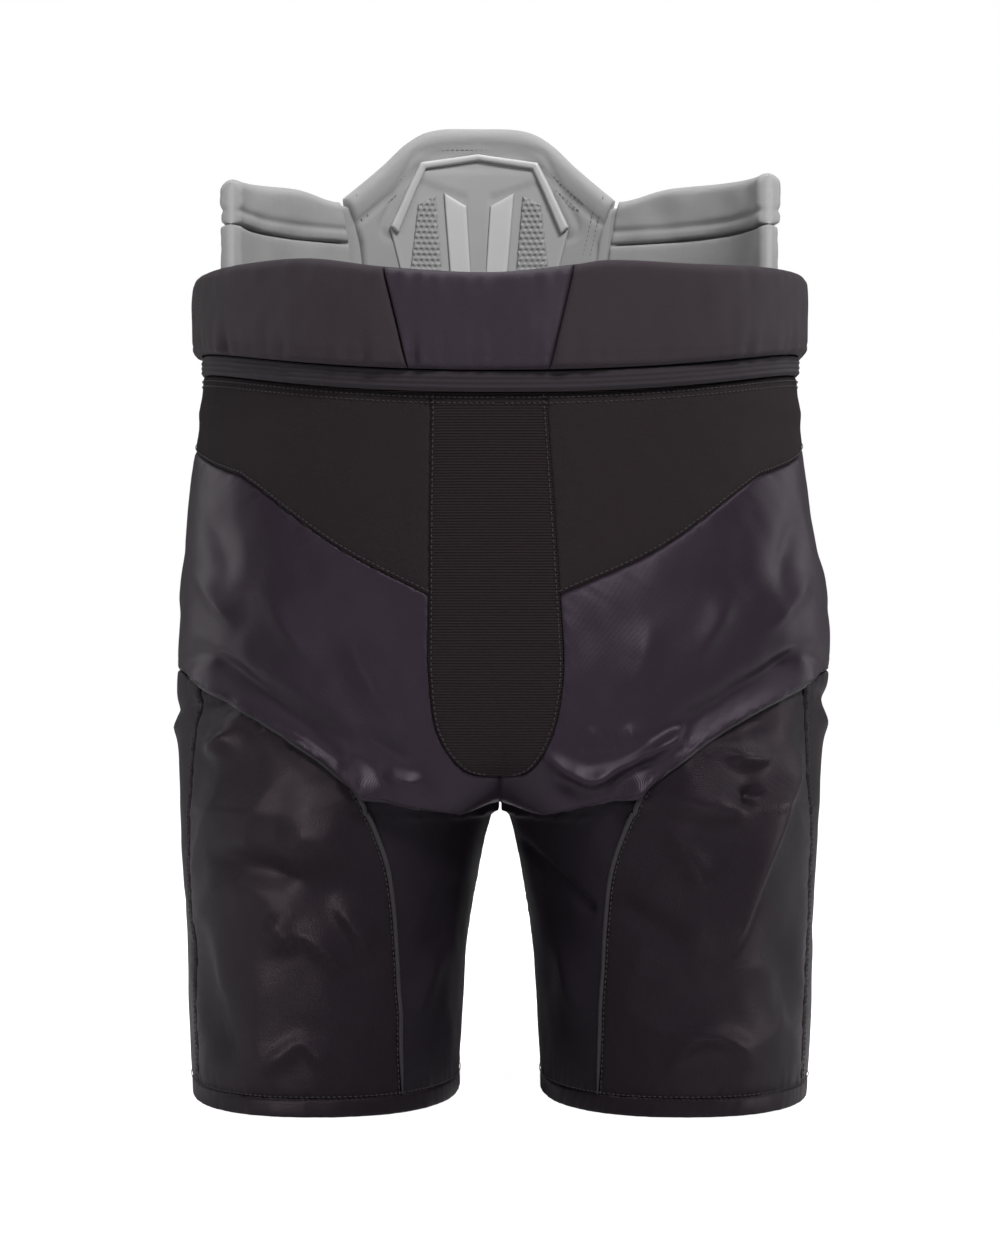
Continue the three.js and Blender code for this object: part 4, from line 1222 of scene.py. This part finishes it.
def belt_grid(start, end, columns, rows):
    """start and end give the angle of a seam at a share of the belt's height."""
    shares_down = np.linspace(1, 0, rows)
    along = np.linspace(0, 1, columns)
    first = np.array([start(share) for share in shares_down])[:, None]
    last = np.array([end(share) for share in shares_down])[:, None]
    angle = first + (last - first) * along[None]
    x = belt(angle, 0)[..., 0]
    low = BELT_BOTTOM + lift(angle)
    return np.stack([angle, low + (crest_of(angle, x) - low) * shares_down[:, None]], -1)


def belt_face(base, normals, lengths):
    """The belt's outer cloth: gathered along the bottom seam, a little along the top, and uneven."""
    chance = np.random.default_rng(8)
    run = np.arctan2(base[..., 1], base[..., 0]) * 175 * MM
    gathers = sum(np.sin(run * (2 * math.pi / (pitch * MM)) + chance.random() * 6.3)
                  for pitch in (11.0, 14.5, 19.0, 31.0)) / 2.2
    patchy = 0.55 + 0.45 * np.sin(run * 31) * np.sin(run * 17 + 1)
    low = fading(np.maximum(lengths["bottom"] - 3 * MM, 0), 12 * MM)
    high = fading(np.maximum(lengths["top"] - 3 * MM, 0), 8 * MM)
    uneven = (0.9 * MM * waves(base, 41, 10, 50 * MM, 130 * MM)
              + 0.25 * MM * waves(base, 42, 10, 14 * MM, 34 * MM))
    groove = -0.5 * MM * hump(lengths["bottom"] - 6.5 * MM, 1.2 * MM)
    out = gathers * patchy * (1.9 * MM * low + 0.8 * MM * high) + uneven + groove
    return out, 0.3 * MM * waves(base, 43, 10, 30 * MM, 80 * MM)


def seam_angle(end, share):
    half = (43 + 15 * share) * MM
    return float(belt_angle(BELT_TURN + end * half))


BACK_SEAM = float(belt_angle(70 * MM))


def belt_pieces():
    left = lambda share: seam_angle(1, share)
    right = lambda share: seam_angle(-1, share)
    ends = {
        "belt_front": (left, right, 46, BELT_SATIN, "satin_cloth"),
        "belt_wing_left": (lambda share: -BACK_SEAM, left, 150, BELT_CLOTH, "belt_cloth"),
        "belt_wing_right": (right, lambda share: 180 + BACK_SEAM, 150, BELT_CLOTH, "belt_cloth"),
        "belt_back": (lambda share: BACK_SEAM - 180, lambda share: -BACK_SEAM, 56, BELT_CLOTH, "belt_cloth"),
    }
    for node, (start, end, columns, material, slot) in ends.items():
        piece = pad(f"soft_{node}", belt, belt_grid(start, end, columns, 30), material,
                    BELT_THICKNESS - 2 * MM, inset=2.2 * MM, radii=(6.5 * MM, 4.5 * MM, 1.6 * MM, 1.6 * MM),
                    crown=1.2 * MM, relief=belt_face)
        stands_for(piece, node, "hips")


def waist_roll():
    def ribs(base, normals, lengths):
        rows = 0.35 * MM * np.sin(lengths["top"] * (2 * math.pi / (3.1 * MM)))
        return rows + 0.5 * MM * waves(base, 51, 8, 30 * MM, 90 * MM), 0.0

    for name, start, end in (("front", 0, 180), ("back", -180, 0)):
        angle = np.linspace(start, end, 190)
        rows = np.linspace(1, 0, 22)
        z = ROLL_BOTTOM + ROLL_HEIGHT * rows[:, None] + lift(angle)[None]
        grid = np.stack([np.broadcast_to(angle, z.shape), z], -1)
        piece = pad(f"soft_waist_roll_{name}", belt, grid, ROLL_KNIT, 6 * MM, inset=7 * MM,
                    radii=(3 * MM, 3 * MM, 0.5 * MM, 0.5 * MM), relief=ribs)
        stands_for(piece, f"waist_roll_{name}", "hips")


# ------------------------------------------------------------------ back protector
def along_corners(corners, pitch=2.2 * MM):
    pieces = []
    for a, b in zip(corners[:-1], corners[1:]):
        count = max(int(round(math.dist(a, b) / pitch)), 1)
        pieces.append(np.linspace(a, b, count + 1))
    return join(*pieces)


def back_grid(half, foot, waist=None, pitch=2.2 * MM):
    """The grid between a top line, mirrored about the middle, and a level foot."""
    top = join(half[::-1] * [-1, 1], half)
    end = along_corners([half[-1]] + ([waist] if waist else []) + [foot], pitch)
    start = end * [-1, 1]
    bottom = np.linspace((-foot[0], foot[1]), foot, len(top))
    return coons(top, bottom, start, end, np.linspace(0, 1, len(end)), np.linspace(0, 1, len(top)))


CROWN_HALF = spline(np.array([(0, 126.5), (26, 126), (40, 123), (54, 115), (72, 99), (88, 86), (102, 75)])
                    * MM + [0, BELT_TOP], 60)
CROWN_LINE = join(CROWN_HALF[::-1] * [-1, 1], CROWN_HALF)
CAP_TOP = [(0, 107), (44, 101), (52, 87), (68, 56)]


def pad_face(base, normals, lengths):
    """The protector's own face: a rolled crown, sewn channels beside the cap, and soft swelling."""
    flat = np.stack([base[..., 0] - BACK_CENTRE, base[..., 2]], -1)
    crown, _, _ = near_line(flat, CROWN_LINE)
    roll = 1.4 * MM * hump(crown - 9 * MM, 7 * MM)
    channel = -1.9 * MM * hump(crown - 19 * MM, 1.8 * MM)
    cap = np.array([(x, y + BELT_TOP / MM) for x, y in CAP_TOP], float) * MM
    outline = np.vstack([cap[::-1] * [-1, 1], cap[1:]])
    beside, _, _ = near_line(flat, outline)
    channel = np.minimum(channel, -1.5 * MM * hump(beside - 7 * MM, 2.0 * MM))
    uneven = 0.5 * MM * waves(base, 61, 10, 40 * MM, 100 * MM)
    spine = np.abs(flat[..., 0])
    ribs = -1.6 * MM * hump(spine - 30 * MM, 2 * MM) * smooth(12 * MM, 30 * MM, crown)
    behind = np.minimum(ribs, -1.7 * MM * hump(crown - 19 * MM, 2 * MM))
    return roll + behind + uneven, roll + channel + uneven


def back_pad():
    grid = back_grid(CROWN_HALF, (80 * MM, BELT_TOP - 60 * MM), (90 * MM, BELT_TOP + 43 * MM))
    piece = pad("soft_back_pad", back_surface, grid, GREY_CLOTH, BACK_THICKNESS, inset=BACK_INSET,
                radii=(7.5 * MM, 5 * MM, 4 * MM, 4 * MM), crown=1.2 * MM, relief=pad_face)
    stands_for(piece, "back_pad", "back_protector")


CAP_FACE = BACK_INSET + BACK_THICKNESS + 0.4 * MM
ON_CAP = CAP_FACE + 2.5 * MM + 0.4 * MM


def plate(name, grid, material, inset, thickness, bevel=1.0, relief=None, pitch_edges=(0.02, 0.5, 1.0)):
    """A moulded plate on the protector's inner face, with bevelled edges."""
    def shape(base, normals, side, part):
        height = relief(base) if relief else np.zeros(base.shape[:2])
        return height, np.zeros(base.shape[:2])

    return panel(name, back_surface, grid, material, inset=inset, thickness=thickness, inward=True,
                 relief=shape, dip=bevel * MM, gather=0, puff=0, distances=pitch_edges)


def quad_grid(corners, pitch):
    high_in, high_out, low_in, low_out = (np.array(c, float) * MM + [0, BELT_TOP] for c in corners)
    rows = max(int(np.linalg.norm(high_in - low_in) / pitch), 4)
    columns = max(int(np.linalg.norm(high_in - high_out) / pitch), 4)
    t = np.linspace(0, 1, rows)[:, None, None]
    s = np.linspace(0, 1, columns)[None, :, None]
    return (high_in * (1 - s) + high_out * s) * (1 - t) + (low_in * (1 - s) + low_out * s) * t


def back_cap():
    corners = [(x * MM, BELT_TOP + y * MM) for x, y in CAP_TOP]
    grid = back_grid(along_corners(corners, 1.6 * MM), (46 * MM, BELT_TOP - 22 * MM), pitch=1.6 * MM)

    def column(base):
        """A raised spine up the middle, which spreads into a bar across the top."""
        across = np.abs(base[..., 0] - BACK_CENTRE)
        rise = base[..., 2] - BELT_TOP
        half = (5.5 + 3.0 * smooth(0.01, 0.08, rise)) * MM
        spine = 1 - smooth(half - 0.8 * MM, half + 0.8 * MM, across)
        bar = smooth(0.074, 0.0765, rise - across * 0.3)
        sunk = smooth(0.094, 0.0965, rise)
        return 0.9 * MM * np.maximum(spine, bar) - 0.5 * MM * sunk * bar

    cap = plate("moulded_cap", grid, GREY_PLASTIC, CAP_FACE, 2.5 * MM, 0.9, column)
    stands_for(cap, "back_cap", "back_protector")

    outline = along_corners([(-x, z) for x, z in corners[:0:-1]] + corners, 2 * MM)
    inner = outline * [1 - 6 / 68, 1] - [0, 4.8 * MM]
    t = np.linspace(0, 1, 9)[:, None, None]
    trim_grid = outline[None] * (1 - t) + inner[None] * t

    def ridge(base):
        across = np.linspace(0, 1, base.shape[0])[:, None]
        return np.broadcast_to(0.5 * MM * np.sin(np.pi * across), base.shape[:2])

    trim = plate("cap_trim", trim_grid, PALE_TRIM, ON_CAP, 3 * MM, 1.6, ridge, (0.05, 0.8, 1.6))
    stands_for(trim, "cap_frame", "back_protector")

    def holes(base):
        pitch = 4.4 * MM
        u = (base[..., 0] - BACK_CENTRE) / pitch
        v = base[..., 2] / (pitch * 0.87)
        row = np.round(v)
        offset = u - 0.5 * (row % 2)
        distance = np.hypot((offset - np.round(offset)) * pitch, (v - row) * pitch * 0.87)
        return -1.1 * MM * (1 - smooth(0.8 * MM, 1.5 * MM, distance))

    for name, side in SIDES.items():
        strip = plate(f"pale_strip_{name}", quad_grid([(9 * side, 71), (26 * side, 80), (5 * side, 12),
                      (20 * side, 12)], 2 * MM), PALE_PLASTIC, ON_CAP, 2 * MM, 0.8)
        stands_for(strip, f"cap_strip_{name}", "back_protector")
        vent = plate(f"perforated_plate_{name}", quad_grid([(33 * side, 78), (46 * side, 72), (27 * side, 14),
                     (52 * side, 26)], 0.55 * MM), DARK_PLASTIC, ON_CAP, 2 * MM, 0.8, holes)
        stands_for(vent, f"cap_plate_{name}", "back_protector")


WING_TOP, WING_FOOT = BELT_TOP + 84 * MM, BELT_TOP - 60 * MM
WING_GROOVE = WING_TOP - 40 * MM
WING_TIP = -3.5                 # the angle of the wing's front edge
SEAM_DEGREE, TIP_DEGREE = 2.3 * MM, 2.9 * MM    # a degree's length round the belt, by the seam and the tip


def wing_seam(side, z, clear=3.2 * MM):
    """The angle at which a kidney wing meets the back pad, at heights z."""
    half = 80 * MM + 22 * MM * np.clip((z - WING_FOOT) / (BELT_TOP + 86 * MM - WING_FOOT), 0, 1)
    return -angle_across(half + clear + side * BACK_CENTRE, 0, BELT_HALF_WIDTH)


def wing_crest(side, angle):
    """The wing's top edge: it dips to the notch by the back pad, and its front corner is round."""
    away = (angle - wing_seam(side, WING_TOP)) * SEAM_DEGREE
    tip = (WING_TIP - angle) * TIP_DEGREE
    share = np.clip(away / (150 * MM), 0, 1)
    level = WING_TOP - (1 if side > 0 else 3) * MM - (5 if side > 0 else 9) * MM * share
    return level - 8.5 * MM * hump(away, 21 * MM) - 2.5 * MM * hump(tip, 4 * MM)


def wing_grid(side, top, bottom, rows):
    """top is a height, or None for the wing's own crest."""
    down = np.linspace(0, 1, rows)[:, None]
    along = np.linspace(0, 1, 84)[None]
    level = (WING_TOP if top is None else top) * (1 - down) + bottom * down
    first = wing_seam(side, level)
    angle = first + (WING_TIP - first) * along
    high = wing_crest(side, angle) if top is None else top
    return np.stack([angle, high * (1 - down) + bottom * down + 0 * angle], -1)


def kidney_wings():
    for name, side in SIDES.items():
        def roll_face(base, normals, lengths):
            soft = 0.7 * MM * waves(base, 71, 10, 24 * MM, 70 * MM)
            channel = -1.4 * MM * hump(lengths["bottom"] - 9 * MM, 2 * MM)
            return soft + channel, soft + channel

        def lower_face(base, normals, lengths):
            soft = 0.7 * MM * waves(base, 72, 10, 24 * MM, 80 * MM)
            channel = -1.6 * MM * hump(lengths["top"] - 50 * MM, 2 * MM)
            return soft + channel, soft

        roll = pad(f"soft_kidney_roll_{name}", belt, wing_grid(side, None, WING_GROOVE, 24), GREY_CLOTH,
                   BACK_THICKNESS - 1 * MM, side, BACK_INSET + 0.5 * MM, (7 * MM, 2 * MM, 2 * MM, 5 * MM),
                   1.8 * MM, roll_face, reach=14 * MM, gather=0.3 * MM)
        lower = pad(f"soft_kidney_pad_{name}", belt, wing_grid(side, WING_GROOVE - 0.4 * MM, WING_FOOT, 42),
                    GREY_CLOTH, BACK_THICKNESS - 1 * MM, side, BACK_INSET + 0.5 * MM,
                    (2 * MM, 4 * MM, 2 * MM, 5 * MM), 0.6 * MM, lower_face, gather=0.3 * MM)
        for piece, node in ((roll, f"kidney_roll_{name}"), (lower, f"kidney_pad_{name}")):
            stands_for(piece, node, f"kidney_wing_{name}")


def fold_webs():
    """The strip of padded cloth that joins each kidney wing to the back pad."""
    for name, side in SIDES.items():
        down = np.linspace(0, 1, 56)[:, None]
        along = np.linspace(-1, 1, 15)[None]
        z = (BELT_TOP + 70 * MM) * (1 - down) + (WING_FOOT + 2 * MM) * down + 0 * along
        angle = wing_seam(side, z, 1.6 * MM + along * 8 * MM)

        def face(base, normals, lengths):
            return 0.0, -0.6 * MM * hump(lengths["start"] - 8 * MM, 1.2 * MM)

        web = pad(f"fold_web_{name}", belt, np.stack([angle, z], -1), GREY_CLOTH, 9 * MM, side,
                  BACK_INSET + 3 * MM, (3 * MM, 2 * MM, 2.5 * MM, 2.5 * MM), 0, face)
        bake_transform(web)


def protector_stitching():
    """Stitches beside the protector's channels and seams."""
    rows = Threads()

    def on_pad(line, raise_by=0.35 * MM):
        places = back_surface(line[:, 0], line[:, 1])
        normals = -normals_of(back_surface, line[None])[0]
        return places + normals * (BACK_INSET + BACK_THICKNESS + raise_by), normals

    crown = resample(CROWN_LINE, 120)
    across = np.gradient(crown, axis=0)[:, ::-1] * [1, -1]
    across /= np.linalg.norm(across, axis=1, keepdims=True)
    for offset in (16.0, 22.0):
        rows.stitches(*on_pad((crown + across * offset * MM)[8:-8]), width=0.6 * MM)
    for way in (-1, 1):
        for offset in (6.5, 12.0):
            line = resample([(way * (101 * MM - offset * MM), BELT_TOP + 78 * MM),
                             (way * (89 * MM - offset * MM), BELT_TOP + 30 * MM),
                             (way * (80 * MM - offset * MM), BELT_TOP - 50 * MM)], 90)
            rows.stitches(*on_pad(line), width=0.6 * MM)
    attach(rows.make("stitches_back_pad", GREY_THREAD), "back_protector")


def waist_tape():
    """The band of knit inside the waist, which joins the belt, the roll and the pants."""
    angles = np.linspace(-180, 180, 260, endpoint=False)
    levels = np.linspace(1, 0, 14)[:, None]
    low, high = WAIST - 10 * MM, BELT_BOTTOM + 9 * MM
    z = low + (high - low) * levels + lift(angles)[None]
    grid = np.stack([np.broadcast_to(angles, z.shape), z], -1)
    tape = panel("waist_tape", belt, grid, KNIT, inset=13.4 * MM, ring=True, edges=("top", "bottom"),
                 relief=None, dip=0.2 * MM, gather=0.1 * MM, puff=0, thickness=0.7 * MM)
    flat, area = cut_size(tape)
    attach(tape, "hips")


# ------------------------------------------------------------------ stitching
def seam_stitching():
    """Rows of stitches beside the seams, and the corded seam over each thigh."""
    threads = {body_name: Threads() for body_name in ("hips", "left", "right")}
    for name, side in SIDES.items():
        lines = SEAMS[name]
        hips, leg = threads["hips"], threads[name]
        for key, offset, owner in (("yoke_border", 2.2, hips), ("gusset_side", -2.0, hips),
                                   ("seat_border", -2.2, hips), ("leg_seam", -2.4, leg),
                                   ("leg_seam", -6.6, leg), ("leg_seam_down", 2.4, leg),
                                   ("back_fold", -2.4, leg), ("strip_front_down", 2.4, leg),
                                   ("strip_back_down", 2.4, leg)):
            owner.stitches(*on_cloth(body, resample(lines[key], 120), side, offset * MM * side, 0.1 * MM))
        line = resample(lines["gusset_edge"], 80)[:70]
        hips.stitches(*on_cloth(body, line, side, -2.0 * MM * side, 0.1 * MM))
        cord_line = join(lines["leg_seam"], lines["leg_seam_down"])
        places, normals = on_cloth(body, resample(cord_line, 160), side, 0, 0.1 * MM)
        leg.cord(places, normals, 1.5 * MM, 1.1 * MM)
        ring = np.stack([np.linspace(-180, 180, 260), np.full(260, HEM_BAND + 1.8 * MM)], -1)
        leg.stitches(*on_cloth(body, ring, side, 0, 0.1 * MM))
    under = np.linspace(2, 178, 240)
    for offset in (2.6, 6.0):
        for half in (1, -1):
            angle = under[under <= 90] if half > 0 else under[under > 90]
            line = np.stack([angle, WAIST - offset * MM + lift(angle)], -1)
            line[:, 0] = np.where(line[:, 0] > 90, 180 - line[:, 0], line[:, 0])
            threads["hips"].stitches(*on_cloth(body, line, half, 0, 0.1 * MM))
    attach(threads["hips"].make("stitches_hips", THREAD), "hips")
    for name in SIDES:
        bends(threads[name].make(f"stitches_leg_{name}", THREAD))


# ------------------------------------------------------------------ stage, camera and light
def area_light(name, place, target, size, energy):
    lamp = bpy.data.lights.new(name, "AREA")
    lamp.shape = "RECTANGLE"
    lamp.size, lamp.size_y = size
    lamp.energy = energy
    made = bpy.data.objects.new(name, lamp)
    bpy.context.scene.collection.objects.link(made)
    made.location = place
    made.rotation_euler = (Vector(target) - Vector(place)).to_track_quat("-Z", "Y").to_euler()


def seen_or_lit(tree, seen, lit):
    """A strength for what the camera sees directly, and another for the light that it gives."""
    path = tree.nodes.new("ShaderNodeLightPath")
    pick = tree.nodes.new("ShaderNodeMapRange")
    tree.links.new(path.outputs["Is Camera Ray"], pick.inputs["Value"])
    pick.inputs["To Min"].default_value = lit
    pick.inputs["To Max"].default_value = seen
    return pick.outputs[0]


def studio():
    scene = bpy.context.scene
    scene.view_settings.view_transform = "Standard"
    world = bpy.data.worlds.new("studio")
    scene.world = world
    world.use_nodes = True
    background = world.node_tree.nodes["Background"]
    background.inputs["Color"].default_value = (1, 1, 1, 1)
    world.node_tree.links.new(seen_or_lit(world.node_tree, 1.0, 0.10), background.inputs["Strength"])
    half = 6.0
    points = [(-half, -half, 0), (half, -half, 0), (half, half, 0), (-half, half, 0)]
    floor = make_object("floor", points, [[0, 1, 2, 3]])
    material = bpy.data.materials.new("pale_floor")
    material.use_nodes = True
    tree = material.node_tree
    shader = tree.nodes["Principled BSDF"]
    shader.inputs["Base Color"].default_value = (0.8, 0.8, 0.8, 1)
    shader.inputs["Roughness"].default_value = 0.9
    shader.inputs["Emission Color"].default_value = (1, 1, 1, 1)
    tree.links.new(seen_or_lit(tree, 0.97, 0.0), shader.inputs["Emission Strength"])
    floor.data.materials.append(material)
    floor.location.z = -0.5 * MM
    for name, place, target, size, energy in (
            ("key", (0.7, -1.35, 1.9), (0, 0, 0.3), (0.7, 0.5), 38),
            ("fill", (-1.1, -1.7, 0.9), (0, 0, 0.3), (0.7, 0.9), 7),
            ("top", (0, 0.3, 1.9), (0, 0, 0.4), (1.2, 0.8), 13),
            ("rim_left", (-1.4, 0.5, 0.8), (0, 0, 0.35), (0.5, 1.2), 6),
            ("rim_right", (1.4, 0.5, 0.8), (0, 0, 0.35), (0.5, 1.2), 6)):
        area_light(name, place, target, size, energy)
    camera = bpy.data.cameras.new("camera")
    camera.lens, camera.sensor_width, camera.sensor_fit = 76.2, 36, "AUTO"
    camera.dof.use_dof = False
    eye = bpy.data.objects.new("camera", camera)
    scene.collection.objects.link(eye)
    eye.location = (0, -1.72, 0.300)
    eye.rotation_euler = (math.radians(90), 0, 0)
    scene.camera = eye


studio()
for side_name, side_way in SIDES.items():
    cloth_panels(side_name, side_way)
    hem_and_lining(side_name, side_way)
front_gusset()
waist_lining()
guards()
belt_pieces()
waist_roll()
back_pad()
back_cap()
kidney_wings()
fold_webs()
waist_tape()
seam_stitching()
protector_stitching()
